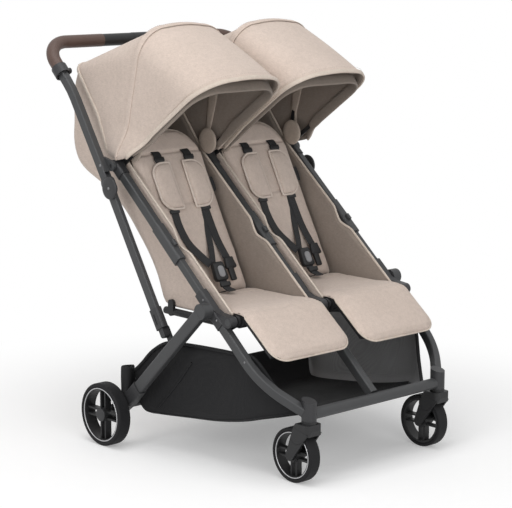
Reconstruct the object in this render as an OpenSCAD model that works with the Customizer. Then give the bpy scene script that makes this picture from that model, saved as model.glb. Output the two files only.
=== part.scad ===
// Side by side double stroller: a folding frame of three sloping front tubes,
// two seats with hoods and leg rests, one basket, casters in front.
// Millimetres, +Z up, the child's left is +X and the stroller faces -Y.

/* [Overall] */
// Width over the outer faces of the rear wheels
rear_track_w = 757; // [745:1:790]
// Length from the front treads to the back of the handlebar
overall_length = 902; // [890:1:930]

/* [Rear wheels] */
// Diameter over the tread
rear_wheel_d = 158.4; // [150:0.2:170]
// Width of the tyre
rear_wheel_w = 36; // [32:0.5:38]
// Depth of the tyre over its rim
rear_tyre_t = 11; // [8:0.5:14]
// Place of the axle behind the side hinge
axle_back = 333; // [323:1:343]

/* [Front wheels] */
// Diameter over the tread
front_wheel_d = 131.2; // [124:0.2:138]
// Width of the tyre
front_wheel_w = 32; // [28:0.5:34]
// Depth of the tyre over its rim
front_tyre_t = 9.5; // [7:0.5:12]
// How far each front leg bends in to its swivel axis
leg_shift = 76; // [68:0.5:84]
// Trail of each axle behind its swivel axis
caster_trail = 42; // [38:0.5:46]

/* [Wheel parts] */
// Diameter of the axles
axle_d = 10; // [8:0.5:12]
// Thickness of a spoke rib
rib_t = 4.5; // [3:0.5:6]
// Distance between the two ribs of one spoke
rib_pair = 17; // [14:0.5:20]
// Diameter of the hub
hub_d = 34; // [30:0.5:38]
// Thickness of the rim's barrel
barrel_t = 5; // [4:0.5:7]

/* [Casters] */
// Width of the upright housing
housing_w = 32; // [30:0.5:36]
// Length of the upright housing, fore and aft
housing_l = 37; // [35:0.5:42]
// Height of the housing above the crossbar's axis
housing_rise = 40; // [34:1:46]
// Air over the tread
tread_gap = 5; // [4:0.5:6]
// Height of the fork's crown over that air
crown_t = 17.86; // [15:0.01:20]
// Thickness of a fork cheek
cheek_t = 4; // [3:0.5:5]
// Diameter of the swivel stem
stem_d = 13; // [11:0.5:15]
// Radius of the cheek round the suspension pivot
cheek_r = 22; // [20:0.5:24]
// Place of the suspension pivot ahead of the wheel's axle
pivot_ahead = 24; // [21:0.5:27]
// Place of the suspension pivot over the wheel's axle
pivot_up = 55; // [52:0.5:57]

/* [Front frame] */
// Height of the side hinge, where tube and rear leg cross
hinge_z = 387; // [375:1:400]
// Slope of the front tubes
tube_slope = 41.1; // [39:0.1:43]
// Gap between a hinge bracket and its rear leg, filled by the leg's knuckle
leg_out = 7; // [6:0.5:9]
// Width of a front tube
tube_w = 20; // [18:0.5:22]
// Depth of a front tube
tube_d = 24; // [22:0.5:27]
// Length of the tubes above the side hinge
tube_rise = 470; // [455:1:485]
// Start of the coupling sleeve above the side hinge
sleeve_low = 152; // [140:1:165]
// Length of the coupling sleeve
sleeve_len = 110; // [95:1:120]
// Wall of the sleeves and brackets
sleeve_wall = 2.5; // [2:0.1:3.5]
// Half length of the hinge bracket
bracket_half = 53; // [48:1:60]
// Radius of the inward bend of the front legs
leg_bend_r = 200; // [180:5:220]
// Angle of that bend
leg_bend = 35; // [31:0.5:38]
// Diameter of the front crossbar
crossbar_d = 27; // [24:0.5:30]
// Diameter of the hinge pins
pin_d = 10; // [8:0.5:11]

/* [Rear frame] */
// Width of a rear leg
leg_w = 20; // [18:0.5:22]
// Depth of a rear leg
leg_d = 30; // [27:0.5:34]
// End of the leg ahead of the axle
foot_ahead = 65; // [58:1:72]
// End of the leg over the axle
foot_up = 51; // [45:1:57]
// Distance of the link's lower end from the side hinge
link_at = 166; // [156:1:176]
// Diameter of the rear beam
beam_d = 25; // [22:0.5:28]
// Diameter of the basket post on each foot
post_d = 22; // [18:0.5:24]
// Height of the basket post over its foot
post_rise = 88; // [78:1:96]
// Width of the brake pedal
pedal_w = 84; // [70:1:100]

/* [Handle] */
// Height of the handlebar over the handle's pivot
handle_rise = 291; // [280:1:305]
// Place of the fold joint ahead of the handle's pivot
fold_ahead = 8; // [4:0.5:14]
// Place of the fold joint under the handle's pivot
fold_drop = 55; // [50:0.5:60]
// Bend of the arms below the grips
arm_bend = 13.39; // [9:0.01:18]
// Radius of the bend under each grip
corner_r = 68; // [62:1:74]
// Distance from the arm's bend to the grip's bend
arm_knee = 92; // [84:1:100]
// Radius of the arm's bend
arm_bend_r = 250; // [200:5:300]
// Width of an arm
arm_w = 20; // [19:0.5:22]
// Depth of an arm
arm_d = 24; // [22:0.5:27]
// Diameter of the grips
grip_d = 33; // [30:0.5:36]
// Half width of the bare middle between the grips
bare_half = 142; // [130:1:155]
// Width of a link
link_w = 14.4; // [12:0.2:15]
// Depth of a link
link_d = 26; // [24:0.5:28]

/* [Seats] */
// Gap between a seat and the brackets on both sides of it
seat_side = 9.5; // [8.5:0.5:13]
// Thickness of the seat fabric
fabric_t = 3; // [2.5:0.1:4]
// Place of the back's hinge behind the side hinge
crease_back = 170; // [160:1:180]
// Place of the back's hinge under the side hinge
crease_drop = 13; // [8:0.5:16]
// Lean of the back from upright
back_lean = 28; // [25:0.2:30]
// Length of the back pad
back_len = 429; // [400:1:440]
// Gap between the back pad and the sides of its seat
back_side = 13.5; // [10:0.5:26]
// Thickness of the back pad
back_t = 26; // [20:0.5:30]
// Thickness of the seat pad
seat_t = 24; // [18:0.5:26]
// Reach of the seat fabric behind the crease
tub_reach = 405; // [385:1:420]
// Rise of the seat fabric above the crease
tub_rise = 552; // [535:1:570]
// Length of the leg rest
rest_len = 150; // [135:1:165]
// Slope of the leg rest
rest_slope = 38.8; // [34:0.2:44]
// Thickness of the leg rest's pad
rest_t = 20; // [16:0.5:24]
// Diameter of the knee crossbar
knee_d = 18; // [15:0.5:20]

/* [Hoods] */
// Direction of the hood's rear edge from level, seen from the side
hood_rear_a = 53; // [50:0.5:57]
// Direction of the middle bow
hood_mid_a = 104; // [98:0.5:108]
// Direction of the brim bow
hood_front_a = 145; // [140:0.5:150]
// Reach of the rear edge from the pivot
hood_rear_r = 300; // [290:1:310]
// Reach of the middle bow from the pivot
hood_mid_r = 346; // [335:1:350]
// Reach of the brim bow from the pivot
hood_front_r = 356; // [346:1:360]
// Width of a bow's strip
bow_w = 11; // [8:0.5:14]
// Thickness of a bow's strip
bow_t = 3.5; // [3:0.1:4]

/* [Basket] */
// Height of the basket's lowest line
basket_low = 74; // [66:1:84]
// Height of the basket's rails
basket_top = 290; // [280:1:300]
// Gap between the basket and the middle of the outer tubes
basket_side = 15; // [13:0.5:25]

/* [Hidden] */
$fn = 48;

// Overrun of every cut, gap between seated pieces, play of a pin in its bore
over = 1;
seat_gap = 0.3;
// How far a straight flank stays inside the round end that it meets
pinch = 0.1;
pin_play = 0.06;
side_gap = 0.5;
edge_r = 4;

// Colours
frame_c = "#4a4b4d";
plastic_c = "#2b2b2d";
cloth_c = "#c9bcae";
dark_cloth_c = "#333335";
leather_c = "#5b4038";
rubber_c = "#1d1d1f";
steel_c = "#a8abb0";

// Wheels
rear_r = rear_wheel_d/2;
front_r = front_wheel_d/2;
rear_x = rear_track_w/2 - rear_wheel_w/2;
leg_gap = 3;
leg_x = rear_x - rear_wheel_w/2 - 2*leg_gap - leg_w/2;
tube_x = leg_x - leg_w/2 - leg_out - sleeve_wall - tube_w/2;
front_axle = [front_r - overall_length/2, front_r];
caster_x = tube_x - leg_shift;
caster_y = front_axle[0] - caster_trail;
crossbar_z = front_wheel_d + tread_gap + crown_t + crossbar_d/2 + 2*side_gap;
hinge = [caster_y + (hinge_z - crossbar_z)/tan(tube_slope), hinge_z];
rear_axle = [hinge[0] + axle_back, rear_r];
tread_share = 0.42;
rim_lip = 2;
tyre_gap = 0.05;
bore_d = axle_d + 2*pin_play;
cap_t = 3;

// Front frame
function along(t, off = 0) = hinge + t*[cos(tube_slope), sin(tube_slope)]
                                   + off*[-sin(tube_slope), cos(tube_slope)];
handle_pivot = along(tube_rise);
crossbar_t = (caster_y - hinge[0])/cos(tube_slope);
leg_end = (leg_shift - leg_bend_r*(1 - cos(leg_bend)))/sin(leg_bend);
bend_t = crossbar_t + leg_bend_r*sin(leg_bend) + leg_end*cos(leg_bend);
slim_step = 2;
web_half = pin_d/2 + sleeve_wall;
cap_len = 36;
cap_r = tube_d/2 + sleeve_wall;
sleeve_lip = 6;
tab_at = sleeve_low + sleeve_len/3;
tab_l = 16;
tab_t = 7;
tab_w = 9;
bracket_x = tube_x + tube_w/2 + sleeve_wall;
knee_at = -62;
knee_r = knee_d/2;
lug_r = knee_r + sleeve_wall + slim_step;
knee = along(knee_at, tube_d/2 + 2*sleeve_wall + knee_r + slim_step);

// Rear frame
foot = rear_axle + [-foot_ahead, foot_up];
leg_dir = (foot - hinge)/norm(foot - hinge);
link_low = hinge + link_at*leg_dir;
foot_r = 17;
foot_wall = 3;
foot_sleeve = 42;
foot_w = leg_w + 2*foot_wall;
beam = foot + (rear_axle - foot)/2;
post_y = foot[0] + post_d;
knuckle_r = 19;
knuckle_x = bracket_x + side_gap;
pedal_l = 52;
pedal_t = 6;
pedal_wall = 5;

// Handle and links
plate_t = 5;
arm_x = tube_x + tube_w/2 + sleeve_wall + side_gap + plate_t + arm_w/2;
bar = [overall_length/2 - grip_d/2, handle_pivot[1] + handle_rise];
fold = handle_pivot - [fold_ahead, fold_drop];
arm_turn = asin((corner_r + arm_knee)*sin(arm_bend)/norm(bar - fold));
arm_slope = atan2(bar[1] - fold[1], bar[0] - fold[0]) + arm_turn;
grip_slope = arm_slope - arm_bend;
grip_dir = [cos(grip_slope), sin(grip_slope)];
corner = bar - corner_r*grip_dir;
arm_vertex = corner - arm_knee*grip_dir;
arm_dir = [cos(arm_slope), sin(arm_slope)];
arm_tangent = arm_bend_r*tan((arm_slope - grip_slope)/2);
arm_straight = norm(arm_vertex - fold) - arm_tangent;
core_d = grip_d - 11;
core_run = 40;
collar_len = 26;
collar_wall = 3.5;
collar_at = 30;
knob_d = 15;
knob_l = 12;
cheek_clear = 0.3;
fork_len = 46;
fork_r = 16;
fold_pin_d = 8;
plate_r = 13;
plate_up = 74;
button_l = 46;
button_w = 15;
button_out = 3;
pod_l = 84;
pod_w = 27;
pod_drop = 27;
pocket_depth = 9;
link_dir = (fold - link_low)/norm(fold - link_low);
link_foot_len = 66;
link_tongue_t = 6;
tongue_x = leg_x - leg_w/2 - side_gap - link_tongue_t/2;
link_collar_len = 52;
link_collar_wall = 3;
slot_w = 6;

// Seats
crease = hinge + [crease_back, -crease_drop];
seat_in_x = tube_w/2 + sleeve_wall + seat_side;
seat_out_x = tube_x - tube_w/2 - sleeve_wall - seat_side;
seat_mid = (seat_in_x + seat_out_x)/2;
seat_w = seat_out_x - seat_in_x;
back_w = seat_w - 2*back_side;
rod_d = 10;
back_knuckle_d = 16;
board_t = 5;
board_margin = 12;
seat_floor = crease[1] - back_knuckle_d/2 - fabric_t - side_gap;
rest_knuckle_r = knee_r + 9;
seat_front = knee[0] + rest_knuckle_r + 2*side_gap;
seat_pad_w = seat_w - 4*fabric_t;
rail_d = 18;
rail_x = seat_out_x - 1;
rail_z = seat_floor - rail_d/2 - side_gap;
rail_rear = crease[0] + 28;
inner_rail_t = 5;
inner_rail_x = tube_w/2 + sleeve_wall + side_gap;
rest_w = seat_w - 2;
rest_frame_t = 6;
rest_knuckle_l = 20;
rest_start = rest_knuckle_r - rest_frame_t - seat_gap;
// The seat fabric's rear line from the crease up, as shares of reach and rise
tub_shares = [[0.03, 0.0], [0.12, 0.06], [0.33, 0.26], [0.63, 0.46], [0.92, 0.55], [1, 0.64], [0.98, 0.78],
              [0.89, 1]];

// Harness
pad_w = 54;
pad_len = 128;
pad_t = 16;
pad_at = 218;
pad_off = 57;
strap_w = 25;
strap_t = 2.4;
strap_low = 92;
buckle_w = 44;
buckle_h = 50;
buckle_t = 16;
buckle_ahead = 62;
buckle_up = 34;

// Hoods
eye_r = 11;
eye_gap = 0.5;
hood_cloth_t = 2;
hood_gap = 0.6;
crown_gap = 2;
mid_shoulder = 72;
brim_shoulder = 66;
rear_shoulder = 60;
mid_in_x = tube_w/2 + sleeve_wall + eye_gap;
mid_out_x = tube_x - tube_w/2 - sleeve_wall - eye_gap;
brim_in_x = mid_in_x + bow_t + eye_gap;
brim_out_x = mid_out_x - bow_t - eye_gap;

// Basket, with its stations given as shares of its length, width and depth
basket_t = 3;
basket_half = tube_x - basket_side;
basket_front = caster_y + crossbar_d;
basket_rear = foot[0] - 6;
basket_shares = [[0, 0.69, 0.40, 0.42], [0.1, 0.82, 0.32, 0.60], [0.2, 0.95, 0.24, 0.78],
                 [0.32, 1, 0.09, 0.98], [0.5, 1, 0, 1], [0.7, 1, 0.02, 0.99], [0.84, 1, 0.05, 0.84],
                 [0.94, 1, 0.08, 0.64], [0.99, 0.985, 0.15, 0.56], [1, 0.98, 0.52, 0.54]];
basket_corner = 34;
basket_rail_d = 12;

// Shapes that repeat
module rounded_rect(w, d, r = edge_r) {
    square([w - 2*r, d], center = true);
    square([w, d - 2*r], center = true);
    for (x = [-1, 1], y = [-1, 1])
        translate([x*(w/2 - r), y*(d/2 - r)]) circle(r);
}
module capsule(p, q, r) {
    translate(p) circle(r);
    translate(q) circle(r);
    translate(p) rotate(atan2(q[1] - p[1], q[0] - p[0])) translate([0, pinch - r])
        square([norm(q - p), 2*r - 2*pinch]);
}
module both() {
    children();
    mirror([1, 0, 0]) children();
}
// A side profile, drawn as (y, z), given its thickness between two x planes
module plate(x0, x1) {
    translate([x0, 0, 0]) rotate([90, 0, 90]) linear_extrude(x1 - x0) children();
}
module rod(p, x0, x1, d) {
    translate([x0, p[0], p[1]]) rotate([0, 90, 0]) cylinder(d = d, h = x1 - x0);
}
// A local frame at a side place, with its z axis along a side slope
module aim(x, p, slope) {
    translate([x, p[0], p[1]]) rotate([slope - 90, 0, 0]) children();
}
module bar_along(x, p, slope, len, w, d, r = edge_r) {
    aim(x, p, slope) linear_extrude(len) rounded_rect(w, d, r);
}
module on_tube(x, t) {
    aim(x, along(t), tube_slope) children();
}

// Points and faces of soft pieces
function signed_pow(v, e) = sign(v)*pow(abs(v), e);
function ring_xy(w, l, a, e) = [w/2*signed_pow(cos(a), e), l/2*signed_pow(sin(a), e)];
function crown(q) = pow(1 - pow(q, 3.2), 0.5);
module cushion(w, l, top, bottom, around = 32, rings = 4, squareness = 5) {
    e = 2/squareness;
    function at(k, a, h) = concat(k/rings*ring_xy(w, l, a, e), h*crown(k/rings));
    step = 360/around;
    pts = concat([[0, 0, top]],
                 [for (k = [1:rings], a = [0:around - 1]) at(k, a*step, top)],
                 [for (k = [1:rings - 1], a = [0:around - 1]) at(k, a*step, -bottom)],
                 [[0, 0, -bottom]]);
    low = 1 + rings*around;
    last = low + (rings - 1)*around;
    function up(k, a) = 1 + (k - 1)*around + a%around;
    function dn(k, a) = k == rings ? up(k, a) : low + (k - 1)*around + a%around;
    faces = concat([for (a = [0:around - 1]) [0, up(1, a + 1), up(1, a)]],
                   [for (k = [1:rings - 1], a = [0:around - 1], h = [0, 1])
                       h == 0 ? [up(k, a), up(k, a + 1), up(k + 1, a + 1)]
                              : [up(k, a), up(k + 1, a + 1), up(k + 1, a)]],
                   [for (k = [1:rings - 1], a = [0:around - 1], h = [0, 1])
                       h == 0 ? [dn(k, a), dn(k + 1, a + 1), dn(k, a + 1)]
                              : [dn(k, a), dn(k + 1, a), dn(k + 1, a + 1)]],
                   [for (a = [0:around - 1]) [last, dn(1, a), dn(1, a + 1)]]);
    polyhedron(pts, faces, convexity = 4);
}
// A sheet with thickness, from two grids of the same size
module sheet(outer, inner) {
    m = len(outer);
    n = len(outer[0]);
    pts = concat([for (row = outer) each row], [for (row = inner) each row]);
    function o(i, j) = i*n + j;
    function s(i, j) = m*n + i*n + j;
    skin = [for (i = [0:m - 2], j = [0:n - 2], h = [0, 1])
               h == 0 ? [o(i, j), o(i + 1, j), o(i + 1, j + 1)] : [o(i, j), o(i + 1, j + 1), o(i, j + 1)]];
    lining = [for (i = [0:m - 2], j = [0:n - 2], h = [0, 1])
               h == 0 ? [s(i, j), s(i + 1, j + 1), s(i + 1, j)] : [s(i, j), s(i, j + 1), s(i + 1, j + 1)]];
    ends = [for (j = [0:n - 2], h = [0, 1])
               h == 0 ? [o(0, j), o(0, j + 1), s(0, j + 1)] : [o(0, j), s(0, j + 1), s(0, j)]];
    tails = [for (j = [0:n - 2], h = [0, 1])
               h == 0 ? [o(m - 1, j), s(m - 1, j + 1), o(m - 1, j + 1)]
                      : [o(m - 1, j), s(m - 1, j), s(m - 1, j + 1)]];
    sides = [for (i = [0:m - 2], h = [0, 1])
               h == 0 ? [o(i, 0), s(i + 1, 0), o(i + 1, 0)] : [o(i, 0), s(i, 0), s(i + 1, 0)]];
    rims = [for (i = [0:m - 2], h = [0, 1])
               h == 0 ? [o(i, n - 1), o(i + 1, n - 1), s(i + 1, n - 1)]
                      : [o(i, n - 1), s(i + 1, n - 1), s(i, n - 1)]];
    polyhedron(pts, concat(skin, lining, ends, tails, sides, rims), convexity = 8);
}
function mix(a, b, f) = a + (b - a)*f;
// A smooth line through hand-set points
function curve_at(p, i, f) =
    let (a = p[max(i - 1, 0)], b = p[i], c = p[i + 1], d = p[min(i + 2, len(p) - 1)])
    0.5*(2*b + (c - a)*f + (2*a - 5*b + 4*c - d)*f*f + (3*b - a - 3*c + d)*f*f*f);
function smooth(p, steps = 4) =
    concat([for (i = [0:len(p) - 2], k = [0:steps - 1]) curve_at(p, i, k/steps)], [p[len(p) - 1]]);

// Front frame
module leg_path(x) {
    on_tube(x, bend_t - over) linear_extrude(-web_half - seat_gap - bend_t + over) rounded_rect(tube_w, tube_d);
    on_tube(x - leg_bend_r, bend_t) rotate([-90, 0, 0]) {
        rotate_extrude(angle = leg_bend) translate([leg_bend_r, 0])
            rounded_rect(tube_w - seat_gap, tube_d - seat_gap);
        translate([leg_bend_r*cos(leg_bend), leg_bend_r*sin(leg_bend), 0]) rotate([0, 0, leg_bend])
            rotate([-90, 0, 0]) translate([0, 0, -over]) linear_extrude(leg_end + over) rounded_rect(tube_w, tube_d);
    }
}
module front_leg() {
    color(frame_c) difference() {
        leg_path(tube_x);
        caster_core(housing_w + 2*seat_gap, housing_l + 2*seat_gap);
    }
}
// The upright outline of a caster, drawn long enough to cut its neighbours
module caster_core(w, l) {
    translate([caster_x, caster_y, 0]) linear_extrude(hinge_z) housing_outline(w, l);
}
module housing_outline(w, l) {
    square([w, l - w], center = true);
    for (s = [-1, 1])
        translate([0, s*(l - w)/2]) circle(d = w);
}
module front_leg_left() front_leg();
module front_leg_right() mirror([1, 0, 0]) front_leg();
module front_leg_centre() {
    color(frame_c) on_tube(0, crossbar_t + crossbar_d/2 + seat_gap)
        linear_extrude(-web_half - crossbar_t - crossbar_d/2 - 2*seat_gap) rounded_rect(tube_w, tube_d);
}
module front_tube(x) {
    slim = [tube_w - 2*slim_step, tube_d - 2*slim_step];
    on_tube(x, web_half) linear_extrude(sleeve_low + sleeve_len/2 + over - web_half)
        rounded_rect(slim[0], slim[1], edge_r - slim_step/2);
    on_tube(x, sleeve_low + sleeve_len/2)
        linear_extrude(tube_rise - cap_r - sleeve_low - sleeve_len/2) rounded_rect(tube_w, tube_d);
}
module front_tubes() {
    color(frame_c) for (x = [-tube_x, 0, tube_x])
        front_tube(x);
}
module tube_sleeves() {
    w = tube_w + 2*sleeve_wall;
    d = tube_d + 2*sleeve_wall;
    slim_gap = 2*seat_gap - 2*slim_step;
    color(plastic_c) for (x = [-tube_x, 0, tube_x])
        difference() {
            union() {
                on_tube(x, sleeve_low) linear_extrude(sleeve_len) rounded_rect(w, d, edge_r + sleeve_wall);
                on_tube(x, tab_at) translate([0, -d/2 - tab_t/2, 0])
                    linear_extrude(tab_l) rounded_rect(tab_w, tab_t + sleeve_wall, sleeve_wall);
            }
            on_tube(x, sleeve_low - over) linear_extrude(sleeve_len + 2*over)
                rounded_rect(tube_w + slim_gap, tube_d + slim_gap, edge_r);
            on_tube(x, sleeve_low + sleeve_lip) linear_extrude(sleeve_len)
                rounded_rect(tube_w + 2*seat_gap, tube_d + 2*seat_gap, edge_r + seat_gap);
        }
}
// Hinge bracket with a socket for each tube, the knee lug and the side hinge's pin
module hinge_bracket(x, pin_end) {
    w = tube_w + 2*sleeve_wall;
    d = tube_d + 2*sleeve_wall;
    slim_gap = 2*seat_gap - 2*slim_step;
    difference() {
        union() {
            on_tube(x, -bracket_half) linear_extrude(2*bracket_half) rounded_rect(w, d, edge_r + sleeve_wall);
            plate(x - tube_w/2, x + tube_w/2) {
                capsule(knee, along(-bracket_half + lug_r, tube_d/2), lug_r);
                capsule(knee, along(-bracket_half + 3*lug_r, tube_d/2), sleeve_wall);
            }
        }
        on_tube(x, web_half) linear_extrude(bracket_half)
            rounded_rect(tube_w + slim_gap, tube_d + slim_gap, edge_r);
        on_tube(x, -web_half - 2*bracket_half) linear_extrude(2*bracket_half)
            rounded_rect(tube_w + 2*seat_gap, tube_d + 2*seat_gap, edge_r + seat_gap);
        rod(knee, x - tube_w, x + tube_w, knee_d + 2*seat_gap);
    }
    if (pin_end > 0)
        rod(hinge, x, pin_end, pin_d);
}
module tube_cap(x) {
    w = tube_w + 2*sleeve_wall;
    d = tube_d + 2*sleeve_wall;
    difference() {
        union() {
            on_tube(x, tube_rise - cap_len) linear_extrude(cap_len)
                rounded_rect(w, d, edge_r + sleeve_wall);
            rod(handle_pivot, x - w/2, x + w/2, 2*cap_r);
        }
        on_tube(x, tube_rise - cap_len - cap_r) linear_extrude(cap_len)
            rounded_rect(tube_w + 2*seat_gap, tube_d + 2*seat_gap, edge_r + seat_gap);
    }
}
module frame_brackets() {
    color(plastic_c) {
        both() {
            hinge_bracket(tube_x, leg_x + leg_w/2 - sleeve_wall);
            tube_cap(tube_x);
            rod(handle_pivot, brim_out_x - bow_t, arm_x - arm_w/2 - side_gap/2, pin_d);
        }
        hinge_bracket(0, 0);
        tube_cap(0);
        rod(handle_pivot, -brim_in_x - bow_t, brim_in_x + bow_t, pin_d);
    }
}
module front_crossbar() {
    color(frame_c) {
        difference() {
            rod([caster_y, crossbar_z], -caster_x, caster_x, crossbar_d);
            both() caster_core(housing_w + 2*seat_gap, housing_l + 2*seat_gap);
        }
    }
}
// Upright housing with a sloping cap and the swivel's bore
module caster_housing() {
    low = fork_top + side_gap;
    high = crossbar_z + housing_rise;
    translate([caster_x, caster_y, 0]) difference() {
        translate([0, 0, low]) linear_extrude(high - low) housing_outline(housing_w, housing_l);
        translate([0, -housing_l/2, high - housing_w/3]) rotate([14, 0, 0])
            translate([-housing_w, -housing_l, 0]) cube([2*housing_w, 3*housing_l, housing_w]);
        translate([0, 0, low - over]) cylinder(d = stem_d + 2*pin_play, h = stem_up + 2*over);
    }
}
module caster_housings() {
    color(plastic_c) both() caster_housing();
}
module knee_crossbar() {
    color(frame_c) rod(knee, -tube_x - tube_w/2, tube_x + tube_w/2, knee_d);
}
// Rails that carry the seats, with the rod that the two backs hinge on
module under_seat_rails() {
    hole = knee_d + 2*seat_gap;
    color(plastic_c) {
        both() {
            difference() {
                union() {
                    aim(rail_x, [rail_rear, rail_z], 180)
                        cylinder(d = rail_d, h = rail_rear - knee[0] - rest_knuckle_r - 2*side_gap);
                    plate(seat_out_x + side_gap, rail_x + rail_d/2)
                        capsule(knee, [knee[0] + 2*lug_r, rail_z], lug_r);
                    plate(seat_out_x + side_gap, rail_x + rail_d/2)
                        capsule(crease, [crease[0], rail_z], rod_d);
                }
                rod(knee, rail_x - rail_d, rail_x + rail_d, hole);
            }
            difference() {
                plate(inner_rail_x, inner_rail_x + inner_rail_t) {
                    capsule(knee, [knee[0] + 2*lug_r, rail_z], lug_r);
                    capsule([knee[0] + 2*lug_r, rail_z], [crease[0], rail_z], rail_d/2);
                    capsule([crease[0], rail_z], crease, rod_d);
                }
                rod(knee, 0, rail_x, hole);
            }
        }
        rod(crease, -rail_x - rail_d/2, rail_x + rail_d/2, rod_d);
    }
}

// Seats
rear_line = smooth([for (s = tub_shares) [crease[0] + s[0]*tub_reach, seat_floor + s[1]*tub_rise]]);
module tub_outline(shift, grow) {
    rim = rear_line[len(rear_line) - 1];
    front_t = (seat_front - hinge[0] + tube_d*sin(tube_slope))/cos(tube_slope);
    front_z = along(front_t, tube_d)[1];
    polygon(concat([[seat_front - grow, seat_floor] + shift],
                   [for (p = rear_line) p + shift],
                   [rim + shift + grow*[-sin(hood_rear_a), cos(hood_rear_a)],
                    along(tube_rise, cap_r + grow), [seat_front - grow, front_z + grow]]));
}
module seat_tub() {
    color(cloth_c) difference() {
        plate(seat_in_x, seat_out_x) tub_outline([0, 0], 0);
        plate(seat_in_x + fabric_t, seat_out_x - fabric_t) tub_outline([-fabric_t, fabric_t], tube_d);
        rod(crease, seat_in_x - over, seat_out_x + over, rod_d + 2*side_gap);
    }
}
module seat_tub_left() seat_tub();
module seat_tub_right() mirror([1, 0, 0]) seat_tub();
seat_pad_len = crease[0] - back_knuckle_d - seat_front - rest_knuckle_r;
module seat_pads() {
    color(cloth_c) both()
        translate([seat_mid, crease[0] - back_knuckle_d - seat_pad_len/2, seat_floor + fabric_t + seat_gap + seat_t/3])
            cushion(seat_pad_w, seat_pad_len, seat_t*2/3, seat_t/3);
}
// Buckle on its crotch strap
module crotch_buckles() {
    foot_z = seat_floor + fabric_t + seat_t + 2*seat_gap;
    place = crease + [-buckle_ahead, buckle_up + buckle_h/2];
    color(plastic_c) both() translate([seat_mid, place[0], 0]) {
        translate([-strap_w/2, -strap_t/2, foot_z]) cube([strap_w, strap_t, place[1] - foot_z - buckle_h/4]);
        translate([0, 0, place[1]]) rotate([90, 0, 0]) difference() {
            translate([0, 0, -buckle_t/2]) linear_extrude(buckle_t) rounded_rect(buckle_w, buckle_h, buckle_t/2);
            translate([0, 0, buckle_t/2 - fabric_t/2]) linear_extrude(buckle_t) circle(d = buckle_w/2);
        }
    }
}
rest_dir = [-cos(rest_slope), -sin(rest_slope)];
// The leg rest's frame: a plate whose knuckles turn on the knee crossbar
module leg_rest_frame() {
    x0 = seat_in_x + fabric_t;
    x1 = seat_out_x - fabric_t;
    color(plastic_c) difference() {
        union() {
            for (x = [x0, x1 - rest_knuckle_l])
                rod(knee, x, x + rest_knuckle_l, 2*rest_knuckle_r);
            aim(0, knee, 180 + rest_slope) translate([x0, rest_start, 0])
                cube([x1 - x0, rest_frame_t, rest_len - rest_t]);
        }
        rod(knee, 0, tube_x, knee_d + 2*pin_play);
        rod(knee, x0 + rest_knuckle_l, x1 - rest_knuckle_l, 2*rest_knuckle_r + side_gap);
    }
}
module leg_rest_frame_left() leg_rest_frame();
module leg_rest_frame_right() mirror([1, 0, 0]) leg_rest_frame();
module leg_rest_pad() {
    color(cloth_c) aim(seat_mid, knee, 180 + rest_slope)
        translate([0, rest_start + rest_frame_t + seat_gap + rest_t/4, rest_len/2 + side_gap]) rotate([-90, 0, 0])
            cushion(rest_w, rest_len, rest_t*3/4, rest_t/4);
}
module leg_rest_pad_left() leg_rest_pad();
module leg_rest_pad_right() mirror([1, 0, 0]) leg_rest_pad();
// The back's board turns on the rod at the crease
module back_frame() {
    aim(seat_mid, crease, 90 - back_lean) children();
}
module back_board() {
    w = back_w - 2*board_margin;
    color(plastic_c) difference() {
        back_frame() {
            translate([0, 0, back_len/2]) rotate([90, 0, 0]) translate([0, 0, -board_t - back_knuckle_d/4])
                linear_extrude(board_t) rounded_rect(w, back_len - board_margin, 4*board_margin);
            for (s = [-1, 1])
                translate([s*w/4 - w/8, 0, 0]) rotate([0, 90, 0]) cylinder(d = back_knuckle_d, h = w/4);
            for (s = [-1, 1])
                translate([s*w/4 - w/8, back_knuckle_d/4, 0]) cube([w/4, board_t, back_knuckle_d]);
        }
        rod(crease, seat_in_x, seat_out_x, rod_d + 2*pin_play);
    }
}
module back_board_left() back_board();
module back_board_right() mirror([1, 0, 0]) back_board();
back_pad_z = back_knuckle_d/4 - seat_gap - back_t/4;
module back_pad() {
    color(cloth_c) back_frame() translate([0, back_pad_z, back_len/2 + back_knuckle_d])
        rotate([90, 0, 0]) cushion(back_w, back_len, back_t*3/4, back_t/4);
}
module back_pad_left() back_pad();
module back_pad_right() mirror([1, 0, 0]) back_pad();
// Two shoulder pads and their webbing, lying on the back pad
module harness() {
    face = back_pad_z - back_t*3/4 - seat_gap;
    color(dark_cloth_c) back_frame() for (s = [-1, 1])
        translate([s*pad_off, 0, 0]) {
            translate([0, face - pad_t/3, pad_at + pad_len/2]) rotate([90, 0, 0])
                cushion(pad_w, pad_len, pad_t*2/3, pad_t/3, 20, 3, 3.5);
            translate([-strap_w/2, face - strap_t - pad_t/3, strap_low])
                cube([strap_w, strap_t, pad_at - strap_low + pad_t]);
        }
}
module harness_left() harness();
module harness_right() mirror([1, 0, 0]) harness();

// Basket
function basket_row(s, wall) =
    let (y = mix(basket_front, basket_rear, s[0]),
         half = s[1]*basket_half - wall,
         depth = basket_top - basket_low,
         low = basket_low + s[2]*depth + wall,
         high = basket_low + s[3]*depth,
         c = min(basket_corner, (high - low)/2),
         arc = [for (a = [0:30:90]) [half - c + c*sin(a), low + c - c*cos(a)]])
    concat([[-half, y, high]], [for (i = [3:-1:0]) [-arc[i][0], y, arc[i][1]]],
           [for (p = arc) [p[0], y, p[1]]], [[half, y, high]]);
module basket() {
    color(dark_cloth_c)
        sheet([for (s = basket_shares) basket_row(s, 0)], [for (s = basket_shares) basket_row(s, basket_t)]);
}

// Handle
module grip_frame() {
    aim(arm_x, corner, grip_slope) children();
}
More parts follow.
